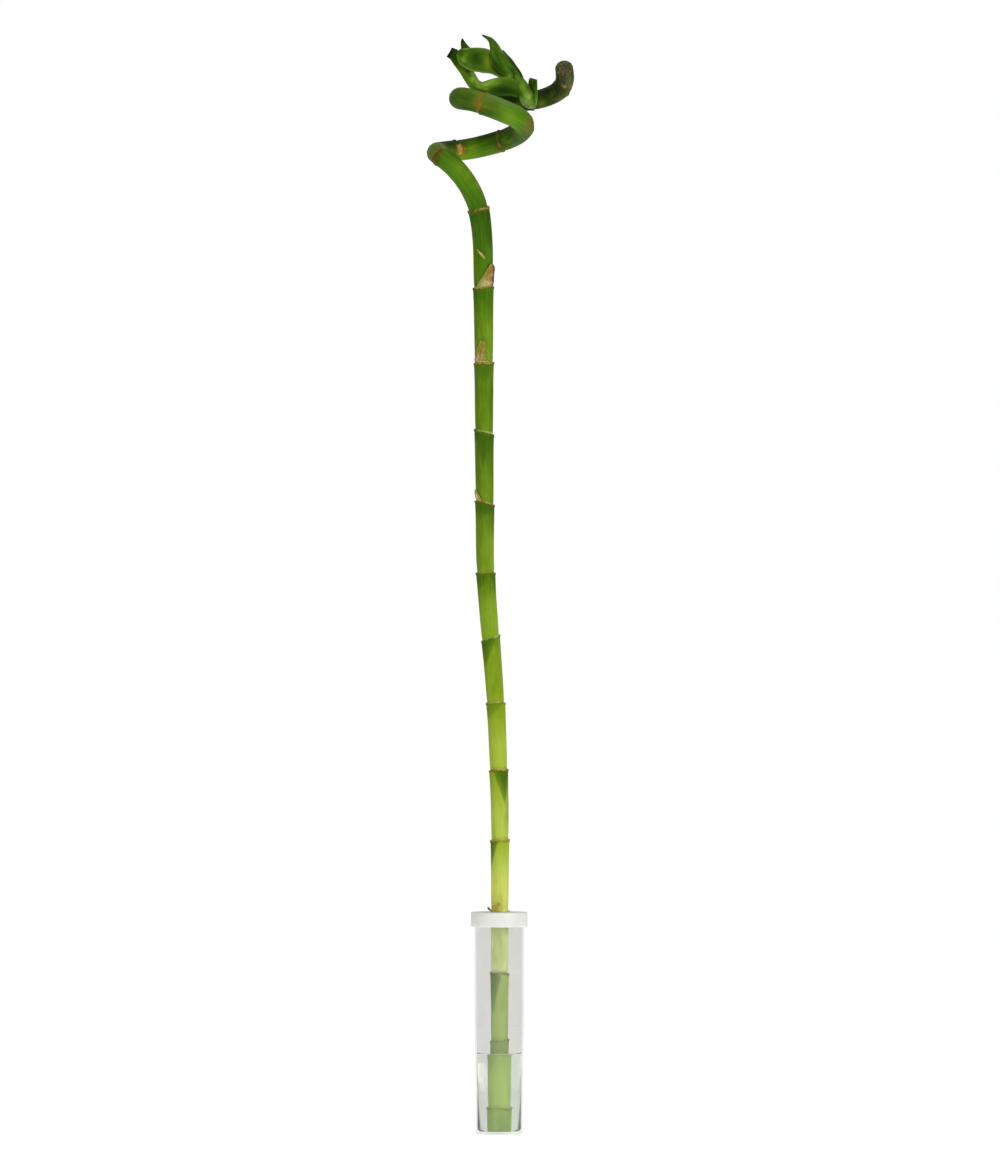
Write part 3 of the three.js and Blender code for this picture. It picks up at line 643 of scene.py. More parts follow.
# The ring: bands by distance over its crest, from 3 mm under to 3 mm over it, that stray and break as they go
# round.
strayed = add(tree, "Math", {0: ragged, 1: 1.5, 2: seen["from_ring"]}, operation="MULTIPLY_ADD")
band = add(tree, "MapRange", {"Value": strayed, "From Min": -2.25, "From Max": 3.75})
gaps = add(tree, "MapRange", {"Value": broken, "From Min": 0.34, "From Max": 0.56, "To Min": 0.25})
straw_stops = [(0.35, "#9a8c3a"), (0.5, "#b2b05a"), (0.65, "#c6ce84")]
straw = add(tree, "ValToRGB", {"Fac": streaks}, stops=straw_stops)
rust_stops = [(0.3, "#7c4a12"), (0.5, "#a87028"), (0.7, "#cfae66")]
rusted = add(tree, "ValToRGB", {"Fac": broken}, stops=rust_stops)
lip_tone, brown_tone, haze_tone = [
    add(tree, "Mix", {"Factor": seen["rust"], "A": fresh, "B": rusty}, data_type="RGBA")
    for fresh, rusty in [
        (straw, rusted),
        (linear("#4a3c12"), linear("#50300c")),
        (linear("#7f7c22"), linear("#5e4a10")),
    ]
]
for name, tone, strength, stops in [
    ("haze", haze_tone, 0.85, [(0.12, "#000000"), (0.42, "#ffffff"), (0.58, "#ffffff"), (0.88, "#000000")]),
    ("line", brown_tone, 1.0, [(0.24, "#000000"), (0.38, "#d8d8d8"), (0.44, "#ffffff"), (0.50, "#000000")]),
    ("lip", lip_tone, 0.95, [(0.41, "#000000"), (0.48, "#ffffff"), (0.56, "#f0f0f0"), (0.66, "#000000")]),
]:
    by = add(tree, "ValToRGB", {"Fac": band}, stops=stops)
    for factor in (seen[name], gaps, strength):
        by = add(tree, "Math", {0: by, 1: factor}, operation="MULTIPLY")
    skin_tone = add(tree, "Mix", {"Factor": by, "A": skin_tone, "B": tone}, data_type="RGBA")
dry = by
bud_stops = [(0.38, "#7a500a"), (0.5, "#a87c24"), (0.62, "#c8a44c")]
bud_skin = add(tree, "ValToRGB", {"Fac": broken}, stops=bud_stops)
skin_tone = add(tree, "Mix", {"Factor": seen["bud"], "A": skin_tone, "B": bud_skin}, data_type="RGBA")
skin_tone = tinted(tree, skin_tone, [
    ("amber", 0.75, "#b4882a"), ("cream", 0.9, "#dcb868"), ("scar", 0.9, "#8c8658"), ("dot", 0.95, "#3a2c12"),
], seen)
# Cut faces dried brown, mottled, with the flesh's fibres showing as pale dots 1.5 mm apart.
pith = add(tree, "TexVoronoi", {"Vector": skin_place, "Scale": 0.65})
dried = add(tree, "ValToRGB", {"Fac": ragged}, stops=[(0.3, "#332f1c"), (0.5, "#4e4a2e"), (0.65, "#666042")])
dots = add(tree, "MapRange", {"Value": pith, "From Min": 0.35, "From Max": 0.1, "To Max": 0.08})
dried = add(tree, "Mix", {"Factor": dots, "A": dried, "B": linear("#7c7256")}, data_type="RGBA")
skin_tone = add(tree, "Mix", {"Factor": seen["cut"], "A": skin_tone, "B": dried}, data_type="RGBA")
rough = add(tree, "MapRange", {"Value": dry, "To Min": 0.42, "To Max": 0.8})
rough = add(tree, "Math", {0: rough, 1: seen["cut"]}, operation="MAXIMUM")
relief = add(tree, "Math", {0: fibres, 1: ragged}, operation="ADD")
bumped = add(tree, "Bump", {"Height": relief, "Strength": 0.5, "Distance": 0.15 * MM})
skin = add(tree, "BsdfPrincipled", {
    "Base Color": skin_tone, "Roughness": rough, "IOR": 1.42, "Specular IOR Level": 0.05, "Normal": bumped,
})
add(tree, "OutputMaterial", {"Surface": skin})

cane = piece("cane_stem", round_body(cane_points), cane_skin, "cane")
around = SKIN_RADIUS * share
store(cane, {"skin": np.stack([np.cos(angle) * around, np.sin(angle) * around, distance], axis=-1)})
store(cane, cane_looks)

# ---- Cap ----
# A lid moulded in one piece from white polyethylene, with a flat top and a short skirt. It is pushed over the
# tube's rim, and the hole in its top keeps the cane upright.

CAP_TOP = 122
CAP_HEIGHT = 8
CAP_RADIUS = 15.55
CAP_PLATE = 1.5
CAP_SKIRT = TUBE_RIM_RADIUS + 0.3
CAP_HOLE = 5.9

# White polyethylene: satin, a little waxy, with the faint unevenness of a thin moulding, drawn 8 mm wide.
white_pe, tree = new_material("white_polyethylene")
cloud = add(tree, "TexNoise", {"Vector": add(tree, "NewGeometry"), "Scale": 120.0, "Detail": 2.0})
tone = add(tree, "ValToRGB", {"Fac": cloud}, stops=[(0.3, "#d8d9d3"), (0.7, "#dcddd7")])
wave = add(tree, "Bump", {"Height": cloud, "Strength": 0.2, "Distance": 0.2 * MM})
lid = add(tree, "BsdfPrincipled", {
    "Base Color": tone, "Roughness": 0.42, "IOR": 1.51, "Subsurface Weight": 0.5,
    "Subsurface Radius": [2 * MM] * 3, "Subsurface Scale": 1.0, "Normal": wave,
})
add(tree, "OutputMaterial", {"Surface": lid})

cap_outline = rounded(
    [
        (CAP_HOLE, CAP_TOP - CAP_PLATE, 0.25),
        (CAP_SKIRT, CAP_TOP - CAP_PLATE, 0.4),
        (CAP_SKIRT, CAP_TOP - CAP_HEIGHT, 0.3),
        (CAP_RADIUS, CAP_TOP - CAP_HEIGHT, 0.35),
        (CAP_RADIUS, CAP_TOP, 0.6),
        (CAP_HOLE, CAP_TOP, 0.35),
    ]
)
piece("vase_cap", turned(cap_outline, closed=True), white_pe, "cap", sharp=50)

# ---- Dry sheath scraps ----
# Papery bits of the leaves that once clasped the cane, torn off and dried where they grew. They hold on by a
# strip along their ring, and their upper edges fray along the fibres.

SCRAP_LIFT = 0.35
SCRAP_THICKNESS = 0.3
SCRAP_RADIUS = 5.5  # of the round that their fibres are laid out on
# For each scrap: rows of distance along the cane, angle from, angle to, both in degrees round the cane, and
# how far they stand off it. Then its tone, from 0 for dull brown to 1 for cream, how far its top frays, and
# its patches of cream, rust, umber and green: share of its height, share of its width, reach up, reach
# across, strength.
SCRAPS = {
    "upper": {
        "rows": [
            (464.2, -134, 34), (466.6, -118, 28), (469.6, -98, 20), (472.4, -78, 6), (475, -64, -12, 0.2),
            (477, -54, -34, 0.4),
        ],
        "tone": 0.42, "fray": 1.6, "cream": [(0.14, 0.3, 0.14, 0.3, 0.8), (0.5, 0.5, 0.12, 0.12, 0.6)],
        "rust": [(0.62, 0.3, 0.18, 0.2, 1), (0.42, 0.5, 0.16, 0.12, 0.9), (0.85, 0.6, 0.2, 0.5, 0.7)],
        "umber": [
            (0.1, 0.7, 0.16, 0.12, 0.9), (0.35, 0.7, 0.2, 0.15, 1), (0.6, 0.8, 0.15, 0.2, 1),
            (0.92, 0.9, 0.12, 0.3, 0.8),
        ],
        "green": [(0.45, 0, 0.5, 0.15, 1), (0.15, 0.08, 0.2, 0.14, 0.7), (1, 0.1, 0.3, 0.3, 0.7)],
    },
    "sliver": {
        "rows": [
            (479.4, -84, -76), (480.8, -98, -80), (482.2, -107, -90), (483.6, -114, -102),
            (485, -120, -115),
        ],
        "tone": 0.7, "fray": 0.6, "cream": [(0.75, 0.5, 0.25, 0.5, 0.7)], "green": [(0, 0.5, 0.55, 1, 0.9)],
    },
    "middle": {
        "rows": [
            (422.8, -165, -50), (423.8, -156, -74), (425.4, -148, -82, 0.2), (428.5, -134, -80),
            (432, -118, -78, 0.2), (435, -108, -82, 0.2),
        ],
        "tone": 0.4, "fray": 1.6,
        "cream": [(0.04, 0.6, 0.08, 0.4, 0.9), (0.25, 0.3, 0.25, 0.12, 0.9), (0.4, 0.7, 0.2, 0.1, 0.5)],
        "rust": [(0.3, 0.1, 0.3, 0.15, 0.3), (0.8, 0.6, 0.2, 0.4, 0.45)],
        "green": [(1, 0.5, 0.25, 1, 1), (0.7, 0, 0.4, 0.3, 0.7), (0.6, 1, 0.4, 0.25, 0.8)],
    },
    "lower": {
        "rows": [
            (345.8, -160, -100), (347.5, -158, -116, 0.2), (349.5, -154, -128, 0.3),
            (351.5, -150, -140, 0.4),
        ],
        "tone": 0.6, "fray": 0.3, "rust": [(0.25, 0.9, 0.25, 0.3, 0.7)],
        "cream": [(0.35, 0.3, 0.3, 0.5, 0.6)], "green": [(1, 0.5, 0.3, 1, 1)],
    },
    "foot": {
        "rows": [(121.1, 150, 212), (122.1, 156, 206, 0.7), (123, 168, 196, 1.5)], "tone": 0.25,
        "fray": 1.6, "rust": [(1, 0.5, 0.6, 1, 0.6)],
    },
}
SCRAP_PATCHES = ("cream", "rust", "umber", "green")

# Dried leaf sheath: matt, brown-tan to cream, rusty where it dried last, with 1.3 mm blotches and streaks
# along its fibres, which are drawn 0.6 mm apart and 6 mm long.
dry_sheath, tree = new_material("dried_leaf_sheath")
lengthwise = add(tree, "Attribute", attribute_name="skin").outputs["Vector"]
scrap_tints = (*SCRAP_PATCHES, "tone", "edge")
seen = {name: add(tree, "Attribute", attribute_name=name).outputs["Fac"] for name in scrap_tints}
fibres_at = add(tree, "Mapping", {"Vector": lengthwise, "Scale": (1.7, 1.7, 0.16)})
fibres = add(tree, "TexNoise", {"Vector": fibres_at, "Scale": 1.0, "Detail": 3.0})
blotch = add(tree, "TexNoise", {"Vector": lengthwise, "Scale": 0.8, "Detail": 2.0})
toned = add(tree, "Math", {0: fibres, 1: 0.8, 2: seen["tone"]}, operation="MULTIPLY_ADD")
toned = add(tree, "Math", {0: blotch, 1: 0.8, 2: toned}, operation="MULTIPLY_ADD")
toned = add(tree, "MapRange", {"Value": toned, "From Min": 0.75, "From Max": 1.85})
paper = add(tree, "ValToRGB", {"Fac": toned}, stops=[
    (0.0, "#4f4216"), (0.3, "#7a6426"), (0.55, "#a08a44"), (0.8, "#bda766"), (1.0, "#d6c890"),
])
spotty = add(tree, "MapRange", {"Value": blotch, "From Min": 0.38, "From Max": 0.56, "To Min": 0.5})
paper = tinted(tree, paper, [
    ("rust", 0.9, "#94480e"), ("umber", 1.4, "#4a200c"), ("cream", 0.8, "#d8ca98"), ("edge", 0.5, "#c4b47c"),
    ("green", 0.9, "#66821a"),
], seen, share=spotty)
ribs = add(tree, "Bump", {"Height": fibres, "Strength": 0.7, "Distance": 0.2 * MM})
papery = add(tree, "BsdfPrincipled", {
    "Base Color": paper, "Roughness": 0.85, "Specular IOR Level": 0.2, "IOR": 1.45, "Normal": ribs,
})
add(tree, "OutputMaterial", {"Surface": papery})


def shell(upper, lower):
    """A closed thin body between two grids of points. Its vertices are the upper ones, then the lower."""
    body = bmesh.new()
    top, under = [[[body.verts.new(point) for point in row] for row in grid] for grid in (upper, lower)]
    rows, columns = upper.shape[:2]
    for i in range(rows - 1):
        for j in range(columns - 1):
            body.faces.new((top[i][j], top[i][j + 1], top[i + 1][j + 1], top[i + 1][j]))
            body.faces.new((under[i][j], under[i + 1][j], under[i + 1][j + 1], under[i][j + 1]))
    rim = [(0, j) for j in range(columns)] + [(i, columns - 1) for i in range(1, rows)]
    rim += [(rows - 1, j) for j in range(columns - 2, -1, -1)] + [(i, 0) for i in range(rows - 2, 0, -1)]
    for (i, j), (k, m) in zip(rim, rim[1:] + rim[:1]):
        body.faces.new((top[k][m], top[i][j], under[i][j], under[k][m]))
    return body


def patches(up, across, spec, names):
    """Each named list of patches over a sheet: centre up and across, reach up and across, and strength."""
    tints = {}
    for name in names:
        tints[name] = 0 * up
        for centre, middle, reach, breadth, strength in spec.get(name, []):
            away = ((up - centre) / reach) ** 2 + ((across - middle) / breadth) ** 2
            tints[name] = np.maximum(tints[name], strength * np.exp(-away))
    return tints


SCRAP_STEPS, SCRAP_COLUMNS = 40, 48
FRAY_TEETH = 9  # to the radian
CURL_WAVE, CURL_EDGE = 0.25, 0.35  # how far the top waves and the side edges lift
for scrap, spec in SCRAPS.items():
    table = np.array([(*row, 0)[:4] for row in spec["rows"]], float)
    rows_at = np.linspace(0, len(table) - 1, SCRAP_STEPS)
    table_at = np.arange(len(table))
    at, start, end, raised = [np.interp(rows_at, table_at, column)[:, None] for column in table.T]
    across, up = np.meshgrid(np.linspace(0, 1, SCRAP_COLUMNS), np.linspace(0, 1, SCRAP_STEPS))
    from_middle = np.abs(2 * across - 1)
    turn = np.radians(start + (end - start) * across)
    torn = np.array([[noise.noise((t * FRAY_TEETH, len(scrap) * 3.1, 0.0)) for t in row] for row in turn])
    along = at + torn * spec["fray"] * up * smooth(0.02, 0.2, across) * smooth(1.0, 0.8, across)
    curl = CURL_WAVE * np.sin(turn * 7 + up * 3) * up + CURL_EDGE * from_middle**6 * up
    lift = SCRAP_LIFT * smooth(-0.05, 0.25, up) + raised + np.maximum(curl, -0.1)
    body = shell(on_cane(along, turn, lift + SCRAP_THICKNESS), on_cane(along, turn, lift))
    made = piece("scrap_" + scrap, body, dry_sheath, "dry_sheath_" + scrap)
    scrap_looks = patches(up, across, spec, SCRAP_PATCHES)
    scrap_looks["skin"] = np.stack([np.cos(turn) * SCRAP_RADIUS, np.sin(turn) * SCRAP_RADIUS, along], axis=-1)
    scrap_looks["tone"] = spec["tone"] + 0 * up
    scrap_looks["edge"] = np.maximum(from_middle**10, up**10)
    store(made, scrap_looks, faces=2)

# ---- Leafy shoot ----
# The one side shoot, grown from a bud on the coil's second turn: a short stem wrapped in the sheaths of its
# leaves. The leaves are smooth and waxy straps with paler margins. Older ones were trimmed and have dried
# dark at the cut.

# The stem's rows of x, y, z and radius.
SHOOT_STEM = [
    (18.4, 14.5, 567.8, 3), (17.4, 10.4, 567.4, 3.2), (15.8, 7.2, 568.8, 4.2), (14.2, 5.4, 571.8, 3.8),
    (12.4, 4.2, 575.4, 3.2), (10.6, 3.6, 579.2, 2.7), (8.8, 3.2, 583, 1.9), (7.4, 3, 586, 0.9),
]
# A leaf's rows of x, y, z, half width, and turn in degrees of the right edge towards the viewer. cup and fold
# shape the section. margin gives how strong the pale margin is on the left and right edge, dark the share of
# the length where the dried tip starts. The four patch lists, in the order of LEAF_PATCHES, are painted
# shade in dark green, painted light in bright green, yellowed green, and whitish green that is partly a
# sheath's own pale base and partly a painted highlight: share of the length, place across from -1 to 1, reach
# along, reach across, strength.
LEAVES = {
    "tallest": {
        "rows": [
            (10.4, 3.4, 578, 2.4, 0), (7, 0.8, 582.4, 3.6, 0), (3.2, -2, 586.4, 4.3, 0),
            (0.4, -3.2, 590.2, 4.4, 0), (-1.6, -3, 594.4, 3.8, 0), (-2.8, -2.2, 598, 2.7, 0),
            (-4.9, -1.2, 601.6, 1.5, 0), (-9.5, 0, 604.4, 0.35, 0),
        ],
        "fold": -0.55, "margin": (0.1, 0.1), "dark": 0.95,
        "shoot_painted_shade": [
            (0.38, -0.75, 0.17, 0.4, 0.75), (0.3, 1, 0.3, 0.2, 0.5), (0.55, 0, 0.12, 0.22, 0.6),
            (0.45, 0.4, 0.08, 0.2, 0.3), (0.13, 0.6, 0.08, 0.4, 1),
        ],
        "shoot_painted_light": [
            (0.13, -0.4, 0.05, 0.4, 1), (0.24, -0.15, 0.06, 0.2, 0.15), (0.62, 0.9, 0.1, 0.25, 0.3),
            (0.6, -0.5, 0.16, 0.25, 0.2),
        ],
        "pale_green_and_painted_highlight": [(0.1, -0.5, 0.05, 0.4, 0.5)],
    },
    "narrow": {
        "rows": [
            (12.2, 5.6, 577, 2.4, 0), (10.2, 5.8, 581.8, 2.6, -10), (7, 6.4, 587.2, 2.4, -18),
            (4.2, 7, 592, 1.7, -20), (1.8, 7.6, 596.4, 0.35, -20),
        ],
        "cup": 0.2, "margin": (0, 0.1), "dark": 0.97, "shoot_painted_shade": [(0.5, 0, 1, 2, 0.6)],
    },
    "broad": {
        "rows": [
            (7.6, 3.4, 580, 2.4, 0), (1, 2.6, 585.6, 4.4, 0), (-4.4, 1.4, 588.9, 6, 0),
            (-9.4, -0.4, 590.3, 6.8, 0), (-14.4, -1.8, 590.9, 6.6, 0), (-18.9, -2.4, 592.5, 5.2, 0),
            (-22.7, -2, 595, 1.9, 0),
        ],
        "cup": 0.25, "margin": (0.5, 0.3), "dark": 1.2,
        "shoot_painted_shade": [(0.62, 0.15, 0.12, 0.6, 0.9), (0.95, 0.3, 0.06, 0.4, 0.6), (0.55, -0.9, 0.14, 0.25, 0.6)],
        "shoot_painted_light": [(0.9, 1, 0.05, 0.14, 0.9), (0.83, -0.4, 0.05, 0.25, 0.35), (0.71, -0.6, 0.06, 0.2, 0.15)],
        "olive": [(0.38, 0, 0.09, 0.6, 1), (0.5, -0.8, 0.2, 0.3, 0.3), (0.83, 0, 0.05, 0.4, 0.4)],
    },
    "arching": {
        "rows": [
            (11, 2.6, 573.2, 3.4, 0), (6.4, -0.6, 575.8, 4.8, 10), (1, -3, 576.2, 5.2, 16),
            (-4.6, -4.4, 575.5, 5, 20), (-9.4, -4.6, 575.1, 4.1, 24), (-13.1, -3, 577, 3.5, 14),
            (-16, -1.2, 581, 3.5, 6), (-18.9, 0.4, 585.8, 3.6, 0), (-22, 1.2, 590, 3.6, 0),
            (-24.6, 1.6, 593.3, 3.4, 0), (-27.5, 1.8, 595, 2.9, 0),
        ],
        "cup": 0.3, "margin": (0.1, 0.1), "dark": 0.95,
        "shoot_painted_shade": [
            (0.18, -0.5, 0.14, 0.6, 1), (0.06, -0.4, 0.08, 0.6, 0.7), (0.4, -0.5, 0.06, 0.3, 0.8),
            (0.9, 0.2, 0.12, 2, 0.7), (0.78, 0.1, 0.08, 0.3, 0.6), (0.1, 0.2, 0.08, 0.25, 0.4),
            (0.67, 0.3, 0.03, 0.35, 0.8),
        ],
        "shoot_painted_light": [
            (0.38, 0.5, 0.09, 0.35, 1), (0.47, 0.5, 0.09, 0.55, 1), (0.3, 0.7, 0.07, 0.3, 0.8),
            (0.44, 0.1, 0.05, 0.35, 1), (0.27, 0.35, 0.06, 0.3, 0.5), (0.38, -0.05, 0.04, 0.3, 0.6),
            (0.6, 0.8, 0.08, 0.25, 0.4), (0.18, 0.95, 0.06, 0.2, 0.3), (0.56, 0.25, 0.04, 0.45, 0.9),
            (0.62, 0.55, 0.03, 0.25, 0.5),
        ],
        "pale_green_and_painted_highlight": [(0.46, 0.95, 0.09, 0.28, 1), (0.35, 0.45, 0.05, 0.22, 0.5), (0.45, -1, 0.1, 0.25, 0.4)],
        "olive": [(0.72, -0.4, 0.1, 0.5, 0.6), (0.34, -0.1, 0.05, 0.3, 0.8), (0.58, -0.5, 0.06, 0.4, 0.4)],
    },
    "small": {
        "rows": [
            (8, 4.6, 580, 2.2, 0), (-0.6, 6.4, 585, 3.2, 0), (-8.4, 7.4, 589.4, 3.4, 0),
            (-15.2, 7.8, 593.2, 3.2, 0), (-18.6, 7.6, 597.2, 2.4, 0), (-20, 7.4, 600.6, 1.3, 0),
            (-20.4, 7.2, 602.8, 0.35, 0),
        ],
        "cup": 0.2, "margin": (0.2, 0.2), "dark": 0.86, "shoot_painted_shade": [(0.82, 0, 0.15, 2, 0.4)],
    },
    "sheath_outer": {
        "rows": [
            (17.6, 6.6, 565, 1.8, 0), (16, 3.6, 567.8, 3.4, 0), (14.6, 1.6, 571.6, 3.9, 0),
            (12.6, 0.4, 575.4, 3.9, 0), (10.6, -0.4, 579, 3.1, 0), (8.4, -0.8, 582, 0.9, 0),
        ],
        "cup": -0.6, "margin": (0, 0.2), "dark": 1.2, "shoot_painted_shade": [(0.47, 0.95, 0.12, 0.3, 0.85)],
        "shoot_painted_light": [
            (0.34, 0.1, 0.16, 0.7, 0.6), (0.08, 0, 0.16, 1.5, 0.6), (0.6, 0.1, 0.2, 0.6, 0.35),
            (0.85, 0, 0.15, 0.6, 0.2),
        ],
        "pale_green_and_painted_highlight": [(0.29, 0.3, 0.08, 0.3, 0.45), (0.04, 0, 0.1, 1.5, 0.6)],
    },
    "sheath_right": {
        "rows": [
            (18.9, 8.2, 566.2, 1.6, 0), (19.4, 7.4, 569.4, 1.6, 0), (19.2, 6.8, 573, 1.9, 0),
            (18.5, 6.6, 577, 2.5, 0), (18.6, 6.6, 579.6, 2.4, 0), (18.9, 6.6, 580.7, 2, 0),
        ],
        "cup": -0.25, "margin": (0, 0.5), "dark": 0.95,
        "shoot_painted_shade": [(0.5, -0.3, 0.25, 0.6, 0.9), (0.7, 0.4, 0.2, 0.5, 0.9)],
        "shoot_painted_light": [(0.1, 0.5, 0.2, 0.8, 0.45)],
    },
}
LEAF_PATCHES = ("shoot_painted_shade", "shoot_painted_light", "olive", "pale_green_and_painted_highlight")
LEAF_COLUMNS = 25
LEAF_STEPS = 12  # to the row
LEAF_THICKNESS, TIP_THICKNESS = 0.55, 0.08
LEAST_HALF_WIDTH = 0.15

# Living leaf: a smooth waxy cuticle over deep green, and a little light comes through. Its parallel veins are
# drawn 1.6 mm apart, coarser than the real ones, and its flush of lighter green in streaks of 3 by 14 mm.
living_leaf, tree = new_material("living_leaf")
lamina = add(tree, "Attribute", attribute_name="lamina").outputs["Vector"]
leaf_tints = (*LEAF_PATCHES, "margin", "dark")
seen = {name: add(tree, "Attribute", attribute_name=name).outputs["Fac"] for name in leaf_tints}
veins = add(tree, "TexWave", {
    "Vector": add(tree, "Mapping", {"Vector": lamina, "Scale": (1.0, 0.05, 1.0)}),
    "Scale": 0.62, "Distortion": 1.2, "Detail": 1.0,
}, wave_type="BANDS", bands_direction="X").outputs["Fac"]
flush_at = add(tree, "Mapping", {"Vector": lamina, "Scale": (0.35, 0.07, 1.0)})
flush = add(tree, "TexNoise", {"Vector": flush_at, "Scale": 1.0, "Detail": 3.0})
flush_stops = [(0.3, "#2c5404"), (0.5, "#3f6a0c"), (0.7, "#557c16")]
leaf_tone = add(tree, "ValToRGB", {"Fac": flush}, stops=flush_stops)
veined_by = add(tree, "Math", {0: veins, 1: 0.18}, operation="MULTIPLY")
leaf_tone = add(tree, "Mix", {"Factor": veined_by, "A": leaf_tone, "B": linear("#7ea038")}, data_type="RGBA")
# Tints: yellowed green, painted light in bright green, painted shade in dark green, whitish green that is
# partly a sheath's pale base and partly a painted highlight, and the pale margin.
leaf_tone = tinted(tree, leaf_tone, [
    ("olive", 0.85, "#86a41c"), ("shoot_painted_light", 0.95, "#b0dc4c"), ("shoot_painted_shade", 0.9, "#1a3a04"),
    ("pale_green_and_painted_highlight", 0.9, "#b6d676"), ("margin", 0.9, "#98b464"),
], seen)
dried_by = add(tree, "Math", {0: flush, 1: 0.5, 2: seen["dark"]}, operation="MULTIPLY_ADD")
dried = add(tree, "MapRange", {"Value": dried_by, "From Min": 0.45, "From Max": 0.95})
dry_tone = add(tree, "ValToRGB", {"Fac": flush}, stops=[(0.3, "#182808"), (0.6, "#263310"), (0.8, "#3c4420")])
leaf_tone = add(tree, "Mix", {"Factor": dried, "A": leaf_tone, "B": dry_tone}, data_type="RGBA")
vein_relief = add(tree, "Bump", {"Height": veins, "Strength": 0.5, "Distance": 0.1 * MM})
rough = add(tree, "MapRange", {"Value": dried, "To Min": 0.38, "To Max": 0.7})
cuticle = add(tree, "BsdfPrincipled", {
    "Base Color": leaf_tone, "Roughness": rough, "IOR": 1.45, "Specular IOR Level": 0.04,
    "Normal": vein_relief,
})
through = add(tree, "BsdfTranslucent", {"Color": leaf_tone})
leaf_mix = add(tree, "MixShader", {0: 0.25, 1: cuticle, 2: through})
add(tree, "OutputMaterial", {"Surface": leaf_mix})

TO_VIEWER = np.array([0, -1, 0])


def turn_about(vectors, axes, degrees):
    """Each vector turned about its own unit axis."""
    c, s = np.cos(np.radians(degrees))[:, None], np.sin(np.radians(degrees))[:, None]
    return vectors * c + np.cross(axes, vectors) * s + axes * (vectors * axes).sum(1)[:, None] * (1 - c)


EDGE_WAVE, EDGE_WAVES = 0.22, 17  # height, and radians to a leaf's length
MIDRIB_DEPTH, MIDRIB_WIDTH = 0.14, 0.1  # the width as a share of the half width
NEXT_LAMINA = 7  # so that no two leaves get the same flush
for number, (leaf, spec) in enumerate(LEAVES.items()):
    leaf_rows = np.array(spec["rows"], float)
    centre, ahead = curve_through(leaf_rows[:, :3], LEAF_STEPS)
    breadth, _ = curve_through(np.column_stack([leaf_rows[:, 3:5], 0 * leaf_rows[:, 0]]), LEAF_STEPS)
    half, turn = np.maximum(breadth[:, :1], LEAST_HALF_WIDTH), breadth[:, 1]
    ahead = unit(ahead)
    side = turn_about(unit(np.cross(ahead, TO_VIEWER)), ahead, -turn)
    face = np.cross(side, ahead)[:, None]
    up = np.linspace(0, 1, len(centre))[:, None] * np.ones(LEAF_COLUMNS)
    across = np.ones(len(centre))[:, None] * np.linspace(-1, 1, LEAF_COLUMNS)
    outer = np.abs(across)
    rise = half * (spec.get("cup", 0) * across**2 + spec.get("fold", 0) * outer)
    rise += EDGE_WAVE * np.sin(up * EDGE_WAVES + number * 2.3 + across) * outer**3 * smooth(0.1, 0.3, up)
    middle = centre[:, None] + side[:, None] * (half * across)[..., None] + face * rise[..., None]
    thick = LEAF_THICKNESS * (0.35 + 0.65 * (1 - across**2)) * smooth(1.02, 0.85, up) + TIP_THICKNESS
    groove = MIDRIB_DEPTH * np.exp(-((across / MIDRIB_WIDTH) ** 2)) * smooth(1.0, 0.8, up)
    upper = middle + face * (thick / 2 - groove)[..., None]
    lower = middle - face * (thick / 2 + groove)[..., None]
    made = piece("leaf_" + leaf, shell(upper, lower), living_leaf, "leafy_shoot")
    leaf_looks = patches(up, across, spec, LEAF_PATCHES)
    margin = np.where(across < 0, *spec["margin"])
    leaf_looks["margin"] = margin * smooth(0.8, 0.93, outer) * smooth(1.0, 0.9, up)
    leaf_looks["dark"] = smooth(spec["dark"] - 0.05, spec["dark"] + 0.05, up)
    length = lengths_along(centre)[:, None] + 0 * across
    leaf_looks["lamina"] = np.stack([half * across, length, number * NEXT_LAMINA + 0 * across], axis=-1)
    store(made, leaf_looks, faces=2)

STEM_SIDES = 40
STEM_FLUSH, STEM_LAMINA = 30, 90  # the length of its flush, laid out apart from the leaves'
# Painted light on the collar, and painted shade low on the stem under it.
STEM_PAINTED_LIGHT = [(12.6, 5.6, 566.9, 2, 1)]  # on the collar: x, y, z, reach, strength
STEM_PAINTED_SHADE = [(16.2, 4.8, 565.6, 1.8, 0.8)]
stem_rows = np.array(SHOOT_STEM)
centre, ahead = curve_through(stem_rows[:, :3], LEAF_STEPS)
ahead = unit(ahead)
rows_at = np.linspace(0, len(stem_rows) - 1, len(centre))
radius = np.interp(rows_at, np.arange(len(stem_rows)), stem_rows[:, 3])
side = unit(np.array([1.0, 0, 0]) - ahead * ahead[:, :1])
back = np.cross(ahead, side)
round_stem = 2 * np.pi * np.arange(STEM_SIDES) / STEM_SIDES
# The sheaths' overlap winds up the stem as a shallow groove: its depth, as a share of the radius, and how far
# it winds, in radians.
WRAP_DEPTH, WRAP_WINDS = 0.05, 7
winding = np.linspace(0, WRAP_WINDS, len(centre))[:, None]
wrap = 1 - WRAP_DEPTH * np.maximum(0, np.sin(round_stem + winding)) ** 6
stem_points = centre[:, None] + side[:, None] * (np.cos(round_stem) * radius[:, None] * wrap)[..., None]
stem_points += back[:, None] * (np.sin(round_stem) * radius[:, None] * wrap)[..., None]
shoot_stem = piece("shoot_stem", round_body(stem_points), living_leaf, "leafy_shoot")
stem_up = np.linspace(0, 1, len(centre))[:, None] * np.ones(STEM_SIDES)
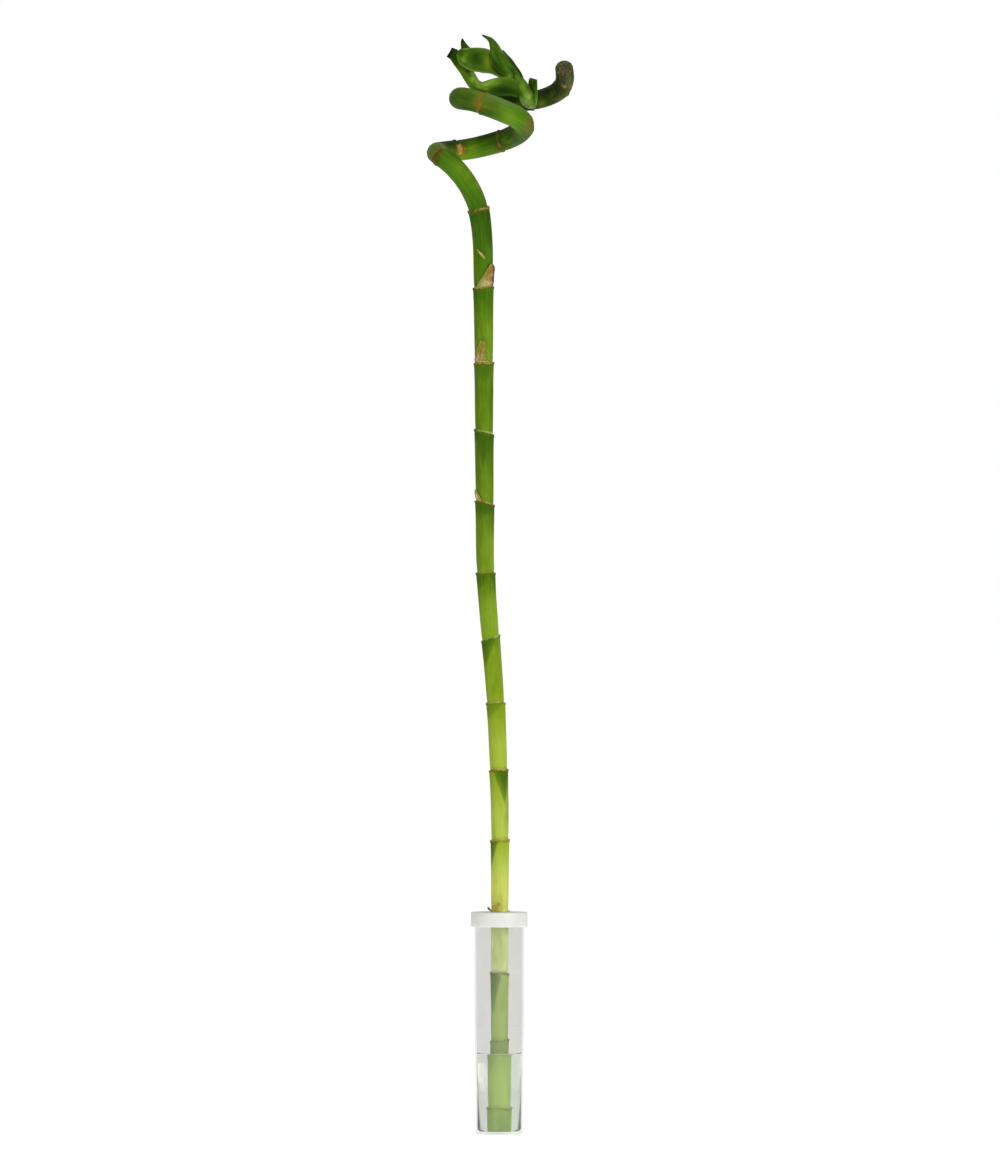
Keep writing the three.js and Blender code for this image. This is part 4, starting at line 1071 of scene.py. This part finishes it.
# Painted light: the stem's left side is painted lighter, as if lit from there, and whitish low down, where
# the shoot's base is also pale of itself.
left_side = 0.5 - 0.5 * np.cos(round_stem)
store(shoot_stem, {
    "pale_green_and_painted_highlight": 0.95 * smooth(0.5, 0.3, stem_up) * left_side,
    "shoot_painted_light": np.maximum(0.7 * smooth(0.8, 0.3, stem_up) * left_side, spots(stem_points, STEM_PAINTED_LIGHT)),
    "shoot_painted_shade": spots(stem_points, STEM_PAINTED_SHADE),
    "lamina": np.stack(
        [round_stem * radius[:, None], STEM_FLUSH * stem_up, STEM_LAMINA + 0 * stem_up], axis=-1
    ),
})

# ---- Studio ----
# A white floor that runs out to a white background, with large soft lamps in front and over the plant. The
# camera stands far off with a long lens, level with the plant's middle.

# Matt white floor: it glows just enough to meet the background without a line at the horizon.
studio_white, tree = new_material("matt_white_floor")
speckle = add(tree, "TexNoise", {"Vector": add(tree, "NewGeometry"), "Scale": 4.0})
tone = add(tree, "ValToRGB", {"Fac": speckle}, stops=[(0.3, "#f6f6f5"), (0.7, "#f9f9f8")])
matt = add(tree, "BsdfPrincipled", {
    "Base Color": tone, "Roughness": 0.9, "Emission Color": (1, 1, 1, 1), "Emission Strength": 0.436,
})
add(tree, "OutputMaterial", {"Surface": matt})

FLOOR_RADIUS = 1300
body = bmesh.new()
bmesh.ops.create_circle(body, cap_ends=True, segments=128, radius=FLOOR_RADIUS)
floor = object_of("floor", body, studio_white)

surround = bpy.data.worlds.new("white_surround")
surround.use_nodes = True
tree = surround.node_tree
tree.nodes.clear()
lit = add(tree, "Background", {"Color": (1, 1, 1, 1), "Strength": 0.42})
shown = add(tree, "Background", {"Color": (1, 1, 1, 1), "Strength": 1.0})
rays = add(tree, "LightPath").outputs
sight = {0: rays["Is Camera Ray"], 1: rays["Is Transmission Ray"]}
seen_white = add(tree, "Math", sight, operation="MAXIMUM")
both = add(tree, "MixShader", {0: seen_white, 1: lit, 2: shown})
add(tree, "OutputWorld", {"Surface": both})
bpy.context.scene.world = surround

# Place and size in metres, and power in watts.
LAMPS = {
    "key": ((1.7, -1.9, 0.9), 1.2, 28), "fill": ((-1.6, -2, 0.6), 1.6, 13),
    "top": ((0.3, 0.2, 2.2), 1.4, 11),
}
LIT_POINT = Vector((0, 0, 0.35))
for name, (place, size, power) in LAMPS.items():
    data = bpy.data.lights.new(name, "AREA")
    data.shape = "DISK"
    data.size = size
    data.energy = power
    lamp = bpy.data.objects.new(name, data)
    lamp.location = place
    lamp.rotation_euler = (LIT_POINT - Vector(place)).to_track_quat("-Z", "Y").to_euler()
    bpy.context.scene.collection.objects.link(lamp)

LENS = 300
SENSOR = 36
PICTURE_HEIGHT = 642.4  # millimetres of the plant's own plane, top to bottom
PICTURE_ACROSS, PICTURE_UP = 0.4, 302.4  # where its middle lies
camera_data = bpy.data.cameras.new("camera")
camera_data.lens = LENS
camera_data.sensor_width = SENSOR
camera_data.clip_end = 100
camera = bpy.data.objects.new("camera", camera_data)
camera.location = (PICTURE_ACROSS * MM, -PICTURE_HEIGHT * LENS / SENSOR * MM, PICTURE_UP * MM)
camera.rotation_euler = (math.pi / 2, 0, 0)
bpy.context.scene.collection.objects.link(camera)
bpy.context.scene.camera = camera
bpy.context.scene.view_settings.view_transform = "Standard"
